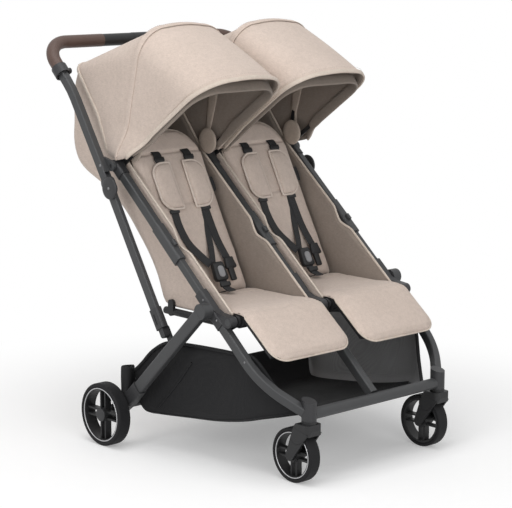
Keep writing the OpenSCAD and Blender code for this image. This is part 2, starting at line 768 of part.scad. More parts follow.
// A round bar from below the corner, round it and on towards the middle
module grip_path(run, stop) {
    translate([0, 0, -run]) linear_extrude(run) children();
    translate([-corner_r, 0, 0]) rotate([90, 0, 0]) rotate_extrude(angle = 90) translate([corner_r, 0]) children();
    translate([-corner_r, 0, corner_r]) rotate([0, -90, 0]) linear_extrude(arm_x - corner_r - stop) children();
}
module arm_path(turn, run) {
    aim(arm_x, fold, arm_slope) {
        linear_extrude(arm_straight + over) rounded_rect(arm_w, arm_d);
        translate([0, arm_bend_r, arm_straight]) rotate([0, 0, -90]) rotate([90, 0, 0]) {
            rotate_extrude(angle = turn) translate([arm_bend_r, 0])
                rounded_rect(arm_d - seat_gap, arm_w - seat_gap);
            translate([arm_bend_r*cos(turn), arm_bend_r*sin(turn), 0]) rotate([0, 0, turn])
                rotate([-90, 0, 0]) translate([0, 0, -over]) linear_extrude(run + over) rounded_rect(arm_d, arm_w);
        }
    }
}
module handle_arm() {
    slot = link_w + 2*cheek_clear;
    arm_end = arm_knee - core_run;
    difference() {
        union() {
            plate(arm_x - arm_w/2, arm_x + arm_w/2) capsule(fold, fold + fork_r*arm_dir, fork_r);
            arm_path(arm_slope - grip_slope, arm_end - arm_tangent);
            plate(arm_x - arm_w/2 - plate_t, arm_x - arm_w/2 + sleeve_wall) {
                capsule(handle_pivot, fold + plate_up*arm_dir, plate_r);
            }
        }
        plate(arm_x - slot/2, arm_x + slot/2)
            capsule(fold - 2*fork_r*arm_dir, fold + (fork_len - fork_r)*arm_dir, fork_r + over);
        rod(handle_pivot, tube_x, arm_x, pin_d + 2*pin_play);
    }
    rod(fold, arm_x - arm_w/2, arm_x + arm_w/2, fold_pin_d);
}
module handle_arms() {
    color(frame_c) both() handle_arm();
}
module handle_core() {
    color(steel_c) {
        both() grip_frame() grip_path(core_run, -over) circle(d = core_d);
    }
}
module handle_grips() {
    color(leather_c) both() grip_frame() grip_path(collar_at - collar_len/2, bare_half) difference() {
        circle(d = grip_d);
        circle(d = core_d + 2*seat_gap);
    }
}
module handle_middle() {
    color(plastic_c) difference() {
        union() {
            rod(bar, -bare_half + seat_gap, bare_half - seat_gap, grip_d - 1);
            rod(bar, seat_gap - pod_l/2, pod_l/2 - seat_gap, grip_d);
            translate([0, bar[0], bar[1]]) rotate([0, 90, 0]) translate([0, 0, -pod_l/2])
                linear_extrude(pod_l) translate([pod_drop/2, 0]) rounded_rect(pod_drop, pod_w, edge_r);
        }
        rod(bar, -bare_half, bare_half, core_d + 2*seat_gap);
        translate([-button_l/2 - side_gap, bar[0] - button_w/2 - side_gap, bar[1] - pod_drop - over])
            cube([button_l + 2*side_gap, button_w + 2*side_gap, pocket_depth + over]);
    }
}
module release_button() {
    color(steel_c) translate([0, bar[0], bar[1] - pod_drop - button_out])
        linear_extrude(pocket_depth) rounded_rect(button_l, button_w, edge_r);
}
module handle_collars() {
    color(plastic_c) both() grip_frame() translate([0, 0, -collar_at - collar_len/2]) difference() {
        union() {
            cylinder(d = grip_d + 2*collar_wall, h = collar_len);
            translate([-grip_d/2 - knob_l, 0, collar_len/2]) rotate([0, 90, 0]) cylinder(d = knob_d, h = knob_l);
        }
        translate([0, 0, -over]) linear_extrude(collar_len + over) rounded_rect(arm_w + 2*seat_gap, arm_d + 2*seat_gap);
        translate([0, 0, -over]) cylinder(d = core_d + 2*seat_gap, h = collar_len + 2*over);
        translate([0, 0, core_run - collar_at - collar_len/2])
            cylinder(d = grip_d + 2*seat_gap, h = collar_len);
    }
}
// Links between the fold joints and the rear legs
link_slope = atan2(link_dir[1], link_dir[0]);
link_len = norm(fold - link_low);
module link_tubes() {
    eye_w = link_w - 2*seat_gap;
    color(frame_c) both() difference() {
        union() {
            bar_along(arm_x, link_low + link_foot_len*link_dir, link_slope, link_len - link_foot_len - fold_pin_d,
                      link_w, link_d);
            rod(fold, arm_x - eye_w/2, arm_x + eye_w/2, link_d - 2*seat_gap);
        }
        rod(fold, tube_x, leg_x + leg_w, fold_pin_d + 2*pin_play);
    }
}
module link_ends() {
    w = link_w + 2*link_collar_wall;
    d = link_d + 2*link_collar_wall;
    start = link_low + (link_foot_len - 2*edge_r)*link_dir;
    root = start - (link_d/3 - 1.5*edge_r)*link_dir;
    color(plastic_c) both() {
        difference() {
            bar_along(arm_x, start, link_slope, link_collar_len, w, d, edge_r + link_collar_wall);
            bar_along(arm_x, start + 2*edge_r*link_dir, link_slope, link_collar_len,
                      link_w + 2*seat_gap, link_d + 2*seat_gap);
            aim(arm_x + w/2, start + 3*edge_r*link_dir, link_slope)
                translate([-link_collar_wall/2, -slot_w/2, 0]) cube([link_collar_wall, slot_w, link_collar_len/2]);
        }
        difference() {
            plate(tongue_x - link_tongue_t/2, arm_x - link_w/2 + link_w)
                capsule(link_low + link_foot_len/2*link_dir + link_d/3*link_dir, root, link_d/3 - seat_gap);
            plate(tongue_x + link_tongue_t/2, leg_x + leg_w)
                capsule(link_low - leg_d*leg_dir, link_low + 2*leg_d*leg_dir, leg_d/2 + leg_gap);
        }
        plate(tongue_x - link_tongue_t/2, tongue_x + link_tongue_t/2)
            capsule(link_low, root, link_d/3);
    }
}

// Rear frame
leg_slope = atan2(leg_dir[1], leg_dir[0]);
leg_len = norm(foot - hinge);
module rear_legs() {
    color(frame_c) both() difference() {
        union() {
            bar_along(leg_x, hinge + pin_d*leg_dir, leg_slope, leg_len - pin_d, leg_w, leg_d);
            rod(hinge, knuckle_x, leg_x + leg_w/2 - seat_gap, 2*knuckle_r);
        }
        rod(hinge, tube_x, leg_x + leg_w/2 - sleeve_wall + side_gap, pin_d + 2*pin_play);
    }
}
module rear_beam() {
    color(frame_c) rod(beam, -leg_x + foot_w/2, leg_x - foot_w/2, beam_d);
}
module rear_feet() {
    w = foot_w;
    d = leg_d + 2*foot_wall;
    color(plastic_c) both() difference() {
        union() {
            bar_along(leg_x, foot - foot_sleeve*leg_dir, leg_slope, foot_sleeve + foot_r, w, d, edge_r + foot_wall);
            plate(leg_x - w/2 + seat_gap, leg_x + w/2 - seat_gap) {
                capsule(foot, rear_axle, foot_r);
                translate(rear_axle) circle(foot_r + foot_wall);
            }
            translate([leg_x, post_y, foot[1] - foot_r]) cylinder(d = post_d, h = post_rise);
        }
        bar_along(leg_x, foot - 2*foot_sleeve*leg_dir, leg_slope, 2*foot_sleeve + seat_gap,
                  leg_w + 2*seat_gap, leg_d + 2*seat_gap, edge_r + seat_gap);
        rod(rear_axle, leg_x - leg_w/2, leg_x + leg_w, axle_d + 2*pin_play);
    }
}
module rear_axles() {
    color(steel_c) both() rod(rear_axle, leg_x - leg_w/2 + side_gap, rear_x + rear_wheel_w/2 - cap_t - side_gap, axle_d);
}
module brake_pedal() {
    r = beam_d/2 + pedal_wall;
    color(plastic_c) difference() {
        union() {
            rod(beam, -pedal_w/4, pedal_w/4, 2*r);
            aim(0, beam, 25) translate([-pedal_w/2, -pedal_t/2, r - sleeve_wall])
                cube([pedal_w, pedal_t, pedal_l]);
        }
        rod(beam, -pedal_w, pedal_w, beam_d + 2*pin_play);
    }
}

// Wheels, drawn about the x axis and set in place
module wheel_at(x, p) {
    translate([x, p[0], p[1]]) rotate([0, 90, 0]) children();
}
module tyre(r, w, t) {
    deep = t - tyre_gap;
    rotate_extrude($fn = 96) translate([r - deep/2, 0]) rounded_rect(deep, w, deep*tread_share);
}
// Rim with four double ribs, hub and a plain cap on the outer face
module rim(r, w, t, blind) {
    rim_r = r - t;
    difference() {
        union() {
            rotate_extrude($fn = 96) translate([rim_r - barrel_t, -w/2 + rim_lip])
                square([barrel_t, w - 2*rim_lip]);
            cylinder(d = hub_d, h = w - 2*rim_lip, center = true);
            translate([0, 0, w/2 - rim_lip]) cylinder(d = hub_d - cap_t, h = rim_lip);
            for (a = [0:90:270], s = [-1, 1])
                rotate(a) translate([0, s*rib_pair/2 - rib_t/2, -w/4])
                    cube([rim_r - barrel_t/2, rib_t, w/2]);
        }
        translate([0, 0, -w]) cylinder(d = bore_d, h = blind ? 3*w/2 - cap_t : 2*w);
    }
}
module rear_tyre_left() color(rubber_c) wheel_at(rear_x, rear_axle) tyre(rear_r, rear_wheel_w, rear_tyre_t);
module rear_tyre_right() mirror([1, 0, 0]) rear_tyre_left();
module rear_rim_left() color(plastic_c) wheel_at(rear_x, rear_axle) rim(rear_r, rear_wheel_w, rear_tyre_t, true);
module rear_rim_right() mirror([1, 0, 0]) rear_rim_left();
module front_tyre_left() color(rubber_c) wheel_at(caster_x, front_axle) tyre(front_r, front_wheel_w, front_tyre_t);
module front_tyre_right() mirror([1, 0, 0]) front_tyre_left();
module front_rim_left() color(plastic_c) wheel_at(caster_x, front_axle) rim(front_r, front_wheel_w, front_tyre_t, false);
module front_rim_right() mirror([1, 0, 0]) front_rim_left();

// Caster forks with their sprung swing arms
fork_top = crossbar_z - crossbar_d/2 - 2*side_gap;
stem_up = housing_rise;
arm_in = front_wheel_w/2 + over;
arm_t = 2.2;
cheek_in = arm_in + arm_t + cheek_clear;
cheek_out = cheek_in + cheek_t;
swing = front_axle + [-pivot_ahead, pivot_up];
swing_tilt = atan2(pivot_up, -pivot_ahead) - 90;
swing_pin_d = 7;
swing_eye_r = 9;
arc_gap = 0.6;
arm_r = 12;
plan_r = 14;
// Corners of the blade and of the crown, from the axle in shares of the wheel's radius
blade_shares = [[-0.2, 1.1], [-0.92, 0.92]];
crown_shares = [[-0.18, 1.06], [-0.3, 1.25], [-0.94, 1.25], [-0.99, 1.04], [-0.93, 0.84]];
function from_axle(s) = front_axle + s*front_r;
// The point where a line from p touches a circle
function touch(p, c, r, side) =
    let (a = atan2(p[1] - c[1], p[0] - c[0]) + side*acos(r/norm(p - c))) c + r*[cos(a), sin(a)];
module blade() {
    top = [for (s = blade_shares) from_axle(s)];
    translate(front_axle) circle(arm_r);
    polygon([top[0], top[1], touch(top[1], front_axle, arm_r - pinch, 1),
             touch(top[0], front_axle, arm_r - pinch, -1)]);
}
// What the fork covers of the blade: everything above an arc round the suspension pivot
module above_pivot(gap) {
    translate(swing) circle(cheek_r + gap);
    translate(swing) rotate(swing_tilt) translate([-front_wheel_d, -gap]) square([2*front_wheel_d, front_wheel_d]);
}
module caster_fork() {
    plan_w = 2*cheek_out - 2*seat_gap;
    color(plastic_c) {
        intersection() {
            plate(caster_x - cheek_out, caster_x + cheek_out) difference() {
                polygon([for (s = crown_shares) from_axle(s)]);
                translate(front_axle) circle(front_r + tread_gap, $fn = 96);
            }
            translate([caster_x, front_axle[0], 0]) linear_extrude(fork_top) rounded_rect(plan_w, front_wheel_d, plan_r);
        }
        for (x = [caster_x - cheek_out, caster_x + cheek_in])
            plate(x, x + cheek_t) difference() {
                intersection() {
                    blade();
                    above_pivot(0);
                }
                translate(swing) circle(d = swing_pin_d + 2*pin_play);
            }
        translate([caster_x, caster_y, fork_top - housing_w/2]) linear_extrude(housing_w/2)
            housing_outline(housing_w, housing_l);
        translate([caster_x, caster_y, fork_top - tread_gap]) cylinder(d = stem_d, h = tread_gap + stem_up - over);
    }
}
module caster_fork_left() caster_fork();
module caster_fork_right() mirror([1, 0, 0]) caster_fork();
module swing_arm() {
    color(plastic_c) {
        for (s = [0, 1])
            translate([caster_x, 0, 0]) mirror([s, 0, 0]) {
                plate(arm_in, arm_in + arm_t) capsule(swing, front_axle, swing_eye_r);
                plate(arm_in + arm_t/2, cheek_out) difference() {
                    blade();
                    above_pivot(arc_gap);
                }
                rod(swing, arm_in + arm_t/2, cheek_out, swing_pin_d);
            }
        rod(front_axle, caster_x - cheek_out, caster_x + cheek_out, axle_d);
    }
}
module swing_arm_left() swing_arm();
module swing_arm_right() mirror([1, 0, 0]) swing_arm();

// Hoods: bows on the handle's pivot pins, and the cloth between them
module bow_outline(x0, x1, r, c) {
    translate([x0, 0]) square([x1 - x0, r - c]);
    translate([x0 + c, 0]) square([x1 - x0 - 2*c, r]);
    for (x = [x0 + c, x1 - c])
        translate([x, r - c]) circle(c, $fn = 96);
}
module bow(x0, x1, r, c, a) {
    color(plastic_c) translate([0, handle_pivot[0], handle_pivot[1]]) rotate([a, 0, 0]) difference() {
        union() {
            translate([0, 0, -bow_w/2]) linear_extrude(bow_w) difference() {
                bow_outline(x0, x1, r, c);
                translate([0, -over]) bow_outline(x0 + bow_t, x1 - bow_t, r - bow_t + over, c - bow_t);
            }
            for (x = [x0, x1 - bow_t])
                translate([x, 0, 0]) rotate([0, 90, 0]) cylinder(r = eye_r, h = bow_t);
        }
        translate([x0 - over, 0, 0]) rotate([0, 90, 0])
            cylinder(d = pin_d + 2*pin_play, h = x1 - x0 + 2*over);
    }
}
module hood_bow() bow(mid_in_x, mid_out_x, hood_mid_r, mid_shoulder, hood_mid_a);
module hood_bow_left() hood_bow();
module hood_bow_right() mirror([1, 0, 0]) hood_bow();
module brim_bow() bow(brim_in_x, brim_out_x, hood_front_r, brim_shoulder, hood_front_a);
module brim_bow_left() brim_bow();
module brim_bow_right() mirror([1, 0, 0]) brim_bow();
// One line of the hood's cloth, from the inner side over the crown to the outer side
function hood_line(a, x0, x1, r, c, low) =
    let (arc = [for (k = [0:10:90]) c*[1 - cos(k), sin(k)]],
         flat = concat([[x0, low], [x0, (low + r - c)/2]],
                       [for (p = arc) [x0 + p[0], r - c + p[1]]],
                       [for (i = [len(arc) - 1:-1:0]) [x1 - arc[i][0], r - c + arc[i][1]]],
                       [[x1, (low + r - c)/2], [x1, low]]))
    [for (p = flat) [p[0], handle_pivot[0] + p[1]*cos(a), handle_pivot[1] + p[1]*sin(a)]];
// Rows of the cloth between two directions, drawn in a little between its bows
sag_share = 0.025;
function hood_rows(a0, a1, r0, r1, c0, c1, wall) =
    [for (f = [0:1/8:1])
        let (r = mix(r0, r1, f)*(1 - sag_share*sin(180*f)) + crown_gap + wall,
             c = mix(c0, c1, f) + wall)
        hood_line(mix(a0, a1, f), mid_in_x - hood_gap - wall, mid_out_x + hood_gap + wall, r, c, 2*eye_r)];
module hood_panel(a0, a1, r0, r1, c0, c1) {
    color(cloth_c) sheet(hood_rows(a0, a1, r0, r1, c0, c1, hood_cloth_t), hood_rows(a0, a1, r0, r1, c0, c1, 0));
}
module hood_back() hood_panel(hood_rear_a, hood_mid_a, hood_rear_r, hood_mid_r, rear_shoulder, mid_shoulder);
module hood_back_left() hood_back();
module hood_back_right() mirror([1, 0, 0]) hood_back();
module hood_front() hood_panel(hood_mid_a, hood_front_a, hood_mid_r, hood_front_r, mid_shoulder, brim_shoulder);
module hood_front_left() hood_front();
module hood_front_right() mirror([1, 0, 0]) hood_front();

front_leg_left();
front_leg_right();
front_leg_centre();
front_tubes();
tube_sleeves();
frame_brackets();
front_crossbar();
caster_housings();
knee_crossbar();
under_seat_rails();
seat_pads();
seat_tub_left();
seat_tub_right();
crotch_buckles();
basket();
leg_rest_frame_left();
leg_rest_frame_right();
leg_rest_pad_left();
leg_rest_pad_right();
back_board_left();
back_board_right();
back_pad_left();
back_pad_right();
harness_left();
harness_right();
handle_arms();
handle_core();
handle_grips();
handle_middle();
handle_collars();
release_button();
link_tubes();
link_ends();
rear_legs();
rear_beam();
rear_feet();
rear_axles();
brake_pedal();
rear_tyre_left();
rear_tyre_right();
rear_rim_left();
rear_rim_right();
front_tyre_left();
front_tyre_right();
front_rim_left();
front_rim_right();
caster_fork_left();
caster_fork_right();
swing_arm_left();
swing_arm_right();
hood_bow_left();
hood_bow_right();
brim_bow_left();
brim_bow_right();
hood_back_left();
hood_back_right();
hood_front_left();
hood_front_right();
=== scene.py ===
# %% [markdown]
# # A side-by-side double stroller, dressed in Blender
# The imported CAD model is the fixed frame. Its tubes, hinges and wheels stay exactly where
# they are and get real finishes. Everything sewn (hoods, seats, pads, straps, basket) is made here. All but
# the hood panels and knee covers ride on a body of the frame by name, and so follow that body.

# %% Load the frame
import math
import bpy
import numpy as np
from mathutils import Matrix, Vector


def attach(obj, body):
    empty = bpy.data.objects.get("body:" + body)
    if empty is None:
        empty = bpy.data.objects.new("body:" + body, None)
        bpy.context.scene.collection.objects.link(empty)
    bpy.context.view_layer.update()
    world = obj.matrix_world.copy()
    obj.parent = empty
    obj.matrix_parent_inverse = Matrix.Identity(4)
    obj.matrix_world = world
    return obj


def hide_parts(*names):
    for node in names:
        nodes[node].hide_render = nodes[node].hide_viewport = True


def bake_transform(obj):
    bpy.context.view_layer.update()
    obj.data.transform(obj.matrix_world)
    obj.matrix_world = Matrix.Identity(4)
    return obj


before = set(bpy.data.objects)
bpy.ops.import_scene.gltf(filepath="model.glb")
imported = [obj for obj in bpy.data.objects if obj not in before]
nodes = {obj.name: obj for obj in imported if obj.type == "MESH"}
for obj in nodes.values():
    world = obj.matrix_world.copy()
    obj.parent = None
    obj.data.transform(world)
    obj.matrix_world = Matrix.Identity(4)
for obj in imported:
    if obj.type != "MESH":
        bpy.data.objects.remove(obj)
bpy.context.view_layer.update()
scene = bpy.context.scene
MM = 0.001
SIDES = (("left", 1), ("right", -1))

# %% [markdown]
# ## Camera
# The photograph was taken with a long lens from the front right, a little above the hoods. A camera is a
# place, a direction and a focal length, so all three are written down and nothing is fitted by eye.

# %% Camera at the photograph's viewing angle
EYE = Vector((-2.9412, -3.2095, 1.2425))
TO_CAMERA = Vector((-0.6657, -0.7250, 0.1767))
FOCAL_PX = 1746.8
IMAGE_W = 512
SENSOR = 36.0
lens_data = bpy.data.cameras.new("photo_camera")
lens_data.sensor_fit = "HORIZONTAL"
lens_data.sensor_width = SENSOR
lens_data.lens = FOCAL_PX / IMAGE_W * SENSOR
lens_data.clip_end = 200
camera = bpy.data.objects.new("photo_camera", lens_data)
camera.location = EYE
camera.rotation_euler = TO_CAMERA.to_track_quat("Z", "Y").to_euler()
scene.collection.objects.link(camera)
scene.camera = camera
scene.view_settings.view_transform = "Standard"
print("lens", round(lens_data.lens, 1), "mm")

# %% [markdown]
# ## Node trees from Python expressions
# Shader maths reads best as maths. `Value` wraps one output socket, so `0.6*mottle + 0.4*fibre` adds the
# Math nodes by itself, and `Tree.node` is the one way to add any other node: type, settings, sockets.

# %% Value and Tree
class Value:
    """One socket of a node tree. Arithmetic on it adds Math nodes."""

    def __init__(self, tree, socket):
        self.tree = tree
        self.socket = socket

    def maths(self, operation, first, second):
        return self.tree.node("ShaderNodeMath", {"operation": operation}, {0: first, 1: second})

    def __add__(self, other):
        return self.maths("ADD", self, other)

    def __mul__(self, other):
        return self.maths("MULTIPLY", self, other)

    __radd__ = __add__
    __rmul__ = __mul__


class Tree:
    """A node tree and the one way to add a node to it."""

    def __init__(self, tree):
        self.tree = tree

    def node(self, kind, settings=None, sockets=None, out=0):
        made = self.tree.nodes.new(kind)
        for key, value in (settings or {}).items():
            if key == "stops":
                for stop, (place, grey) in zip(made.color_ramp.elements, value):
                    stop.position = place
                    stop.color = (grey, grey, grey, 1)
            else:
                setattr(made, key, value)
        for key, value in (sockets or {}).items():
            if isinstance(value, Value):
                self.tree.links.new(value.socket, made.inputs[key])
            else:
                made.inputs[key].default_value = value
        return Value(self, made.outputs[out]) if made.outputs else None


class Finish(Tree):
    """A material in the making."""

    def __init__(self, name):
        self.material = bpy.data.materials.new(name)
        self.material.use_nodes = True
        super().__init__(self.material.node_tree)
        self.tree.nodes.clear()
        self.place = self.node("ShaderNodeTexCoord", out="Object")

    def stretched(self, scale, turn=(0, 0, 0)):
        return self.node("ShaderNodeMapping", {}, {"Vector": self.place, "Rotation": turn, "Scale": scale})

    def noise(self, scale, detail, at=None):
        sockets = {"Vector": at or self.place, "Scale": scale, "Detail": detail}
        return self.node("ShaderNodeTexNoise", {}, sockets)

    def wave(self, axis, scale, at=None):
        sockets = {"Vector": at or self.place, "Scale": scale}
        return self.node("ShaderNodeTexWave", {"bands_direction": axis}, sockets, out="Fac")

    def between(self, amount, first, second):
        """A mix of two (red, green, blue) colours."""
        sockets = {0: amount, 6: (*first, 1), 7: (*second, 1)}
        return self.node("ShaderNodeMix", {"data_type": "RGBA"}, sockets, out=2)

    def surface(self, colour, rough, height, lift, **fixed):
        bump = self.node("ShaderNodeBump", {}, {"Height": height, "Strength": BUMP, "Distance": lift})
        sockets = {"Base Color": colour, "Roughness": rough, "Normal": bump}
        for key, value in fixed.items():
            sockets[key.replace("_", " ")] = value
        shader = self.node("ShaderNodeBsdfPrincipled", {}, sockets)
        self.node("ShaderNodeOutputMaterial", {}, {"Surface": shader})
        return self.material


BUMP = 0.6
WHITE = (1, 1, 1, 1)

# %% [markdown]
# ## Finishes
# The seats are sewn from one heathered canvas: pale threads mixed with darker ones, so the colour is never
# flat. The tubes are powder coated, the mouldings are black plastic with a spark-eroded grain, the grips
# are brown leather, and the basket is black pack cloth with grey mesh inside its side walls. Each finish is
# a few noises and waves, so a table of two colours a finish is all that differs.

# %% Cloth, leather and webbing
THREAD_SCALE = 520
MOTTLE_SCALE = 95
WEAVE_SCALE = 260
RIB_SCALE = 420
GRAIN_SCALE = 620


def melange(name, pale, deep, lift=0.0004):
    f = Finish(name)
    threads = f.noise(THREAD_SCALE, 4, f.stretched((1, 0.28, 1), (0.4, 0.3, 0.7)))
    mottle = f.noise(MOTTLE_SCALE, 5)
    broad = f.noise(9, 2)
    mixed = 0.5 * threads + 0.3 * mottle + 0.2 * broad
    tone = f.node("ShaderNodeValToRGB", {"stops": [(0.36, 0), (0.64, 1)]}, {"Fac": mixed})
    weave = f.wave("X", WEAVE_SCALE) * f.wave("Z", WEAVE_SCALE, f.stretched((1, 1, 1), (0.5, 0, 0)))
    height = 0.6 * weave + 0.4 * threads
    rough = 0.84 + 0.1 * mottle
    colour = f.between(tone, deep, pale)
    return f.surface(colour, rough, height, lift, Sheen_Weight=0.12, Sheen_Roughness=0.6)


def pack_cloth(name, pale, deep, scale):
    f = Finish(name)
    weave = f.wave("X", scale) * f.wave("Z", scale, f.stretched((1, 1, 1), (0.78, 0, 0)))
    broad = f.noise(14, 3)
    colour = f.between(0.55 * weave + 0.45 * broad, deep, pale)
    return f.surface(colour, 0.62 + 0.2 * broad, weave, 0.0004, Specular_IOR_Level=0.2)


def webbing(name, pale, deep):
    f = Finish(name)
    ribs = f.wave("X", RIB_SCALE)
    fray = f.noise(700, 3)
    return f.surface(f.between(0.5 * ribs + 0.5 * fray, deep, pale), 0.7 + 0.15 * fray, ribs, 0.0003)


def leather(name, pale, deep):
    f = Finish(name)
    edges = {"Vector": f.place, "Scale": GRAIN_SCALE}
    grain = f.node("ShaderNodeTexVoronoi", {"feature": "DISTANCE_TO_EDGE"}, edges)
    pores = f.noise(900, 3)
    worn = f.noise(22, 3)
    colour = f.between(0.3 * grain + 0.7 * worn, deep, pale)
    return f.surface(colour, 0.42 + 0.2 * worn, 0.7 * grain + 0.3 * pores, 0.0006)


canvas = melange("heathered_canvas", (0.655, 0.545, 0.475), (0.525, 0.43, 0.37))
# Painted light: the canvas made paler for the back and shoulder pads, which sit in the seat's shade.
painted_light_canvas = melange("painted_light_canvas", (0.69, 0.58, 0.51), (0.55, 0.455, 0.395))
# Painted shade: the canvas made darker for the inner faces of the hoods, seat shells and knee covers.
painted_shade_inner = melange("shaded_lining", (0.32, 0.267, 0.227), (0.255, 0.21, 0.178))
# Painted deep shade: the canvas darker still, for the brim's sleeve inside the hood.
painted_deep_shade_cloth = melange("painted_deep_shade_cloth", (0.27, 0.225, 0.19), (0.21, 0.175, 0.147))
# Painted shade: the canvas made darker for the middle bow's sleeve and the tabs inside the hood.
painted_shade_cloth = melange("painted_shade_cloth", (0.50, 0.42, 0.355), (0.40, 0.335, 0.28))
binding = melange("edge_binding", (0.66, 0.57, 0.49), (0.54, 0.46, 0.39), 0.0002)
pale_piping = melange("pale_piping", (0.74, 0.645, 0.575), (0.62, 0.53, 0.465), 0.0002)
thread = melange("sewing_thread", (0.46, 0.385, 0.32), (0.36, 0.30, 0.25), 0.0001)
black_cloth = pack_cloth("basket_cloth", (0.024, 0.024, 0.025), (0.012, 0.012, 0.013), 300)
grey_mesh = pack_cloth("basket_mesh", (0.36, 0.36, 0.365), (0.22, 0.22, 0.225), 520)
black_web = webbing("harness_webbing", (0.032, 0.032, 0.034), (0.012, 0.012, 0.013))
brown_leather = leather("grip_leather", (0.115, 0.068, 0.053), (0.062, 0.034, 0.026))
print("cloth finishes ready")

# %% [markdown]
# ## Coated metal, plastic and rubber
# Every hard finish on the stroller is a coat or a moulded skin: a fine speckle lifts it and a broad cloud
# shifts its tone. A name that ends in an underscore stands for a left and a right node.


# %% Coats and the CAD nodes that wear them
def coated(name, pale, deep, metal, rough, lift=0.00012, shine=0.35):
    f = Finish(name)
    speckle = f.noise(1900, 2)
    cloud = f.noise(30, 4)
    tone = 0.45 * speckle + 0.55 * cloud
    return f.surface(f.between(tone, deep, pale), rough + 0.14 * cloud, speckle, lift, Metallic=metal,
                     Specular_IOR_Level=shine)


anthracite = coated("powder_coat", (0.068, 0.069, 0.071), (0.047, 0.048, 0.05), 0.2, 0.4)
moulded = coated("moulded_plastic", (0.022, 0.022, 0.023), (0.013, 0.013, 0.014), 0.0, 0.42)
satin = coated("satin_plastic", (0.042, 0.042, 0.044), (0.029, 0.029, 0.031), 0.1, 0.4)
rubber = coated("tyre_rubber", (0.014, 0.014, 0.015), (0.008, 0.008, 0.009), 0.0, 0.62, 0.0003, 0.22)
steel_grey = coated("rivet_steel", (0.22, 0.22, 0.225), (0.15, 0.15, 0.155), 0.8, 0.3, 0.00004)
silver = coated("bright_metal", (0.62, 0.62, 0.63), (0.46, 0.46, 0.47), 0.9, 0.24, 0.00004)
button_grey = coated("button_plastic", (0.30, 0.30, 0.31), (0.24, 0.24, 0.25), 0.0, 0.4)

PAINT = {
    anthracite: ("front_leg_ front_leg_centre front_tubes front_crossbar knee_crossbar handle_arms "
                 "link_tubes rear_legs rear_beam tube_sleeves"),
    satin: "frame_brackets caster_housings link_ends rear_feet handle_collars",
    moulded: ("under_seat_rails handle_middle brake_pedal rear_rim_ front_rim_ caster_fork_ swing_arm_ "
              "hood_bow_ brim_bow_ leg_rest_frame_ back_board_"),
    rubber: "rear_tyre_ front_tyre_",
    silver: "rear_axles handle_core",
    button_grey: "release_button",
    brown_leather: "handle_grips",
}
painted = 0
for paint, stems in PAINT.items():
    for stem in stems.split():
        for name in [stem + side for side, _ in SIDES] if stem.endswith("_") else [stem]:
            slots = nodes[name].data.materials
            slots.clear()
            slots.append(paint)
            painted += 1
print("painted", painted, "CAD nodes")

# %% [markdown]
# ## Stage
# A pale floor keeps the soft shadow. Its own glow for camera rays lifts it towards the white of the
# photograph, and away from the wheels it fades into plain white, so no horizon shows. So the lamps can stay
# at a level where a colour renders about as it is written.

# %% Floor, world and lamps
HALF_FLOOR = 60
FLOOR_GLOW = 0.26
FADE_FROM = 0.5
FADE_TO = 1.25
AMBIENT = 0.46


def seen_directly(tree):
    path = tree.tree.nodes.new("ShaderNodeLightPath").outputs
    rays = [Value(tree, path[name]) for name in ("Is Camera Ray", "Is Glossy Ray", "Is Transmission Ray")]
    return rays[0] + rays[1] + rays[2]


floor_mesh = bpy.data.meshes.new("floor")
corners = [(x * HALF_FLOOR, y * HALF_FLOOR, 0) for x, y in ((-1, -1), (1, -1), (1, 1), (-1, 1))]
floor_mesh.from_pydata(corners, [], [(0, 1, 2, 3)])
floor = bpy.data.objects.new("floor", floor_mesh)
scene.collection.objects.link(floor)
pale = Finish("studio_floor")
grain = pale.noise(40, 2)
tint = pale.between(grain, (0.78, 0.78, 0.78), (0.82, 0.82, 0.82))
matt = pale.node("ShaderNodeBsdfDiffuse", {}, {"Color": tint})
glow = pale.node("ShaderNodeEmission", {}, {"Color": WHITE, "Strength": FLOOR_GLOW})
lifted = pale.node("ShaderNodeAddShader", {}, {0: matt, 1: glow})
reach = pale.node("ShaderNodeVectorMath", {"operation": "LENGTH"}, {0: pale.place}, out="Value")
far = pale.node("ShaderNodeMapRange", {"interpolation_type": "SMOOTHSTEP"},
                {"Value": reach, "From Min": FADE_FROM, "From Max": FADE_TO})
white = pale.node("ShaderNodeEmission", {}, {"Color": WHITE, "Strength": 1.0})
faded = pale.node("ShaderNodeMixShader", {}, {0: far, 1: lifted, 2: white})
shown = pale.node("ShaderNodeMixShader", {}, {0: seen_directly(pale), 1: matt, 2: faded})
pale.node("ShaderNodeOutputMaterial", {}, {"Surface": shown})
floor_mesh.materials.append(pale.material)

world = bpy.data.worlds.new("studio")
scene.world = world
world.use_nodes = True
sky = Tree(world.node_tree)
sky.tree.nodes.clear()
strength = AMBIENT + (1 - AMBIENT) * seen_directly(sky)
backdrop = sky.node("ShaderNodeBackground", {}, {"Color": WHITE, "Strength": strength})
sky.node("ShaderNodeOutputWorld", {}, {"Surface": backdrop})


def lamp(name, place, size, watts, target=(0, 0, 0.6)):
    data = bpy.data.lights.new(name, "AREA")
    data.shape = "DISK"
    data.size = size
    data.energy = watts
    made = bpy.data.objects.new(name, data)
    made.location = place
    made.rotation_euler = (Vector(place) - Vector(target)).to_track_quat("Z", "Y").to_euler()
    scene.collection.objects.link(made)


lamp("overhead_softbox", (-0.6, -0.3, 3.4), 2.4, 40)
lamp("side_softbox", (-3.6, -0.8, 1.9), 2.0, 36)
lamp("front_fill", (-1.4, -3.8, 1.5), 2.4, 40)
print("stage ready")

# %% [markdown]
# ## Mesh helpers
# Sewn pieces are grids of points: a hood is rows of arches, a strap is a small section swept along a path, a
# round cap is a stack of rings. One side is written for the child's left, and the other is its mirror with
# the faces turned round.


# %% Grids, sweeps and mirrored pieces
def mm(*values):
    return np.array(values, float) * MM


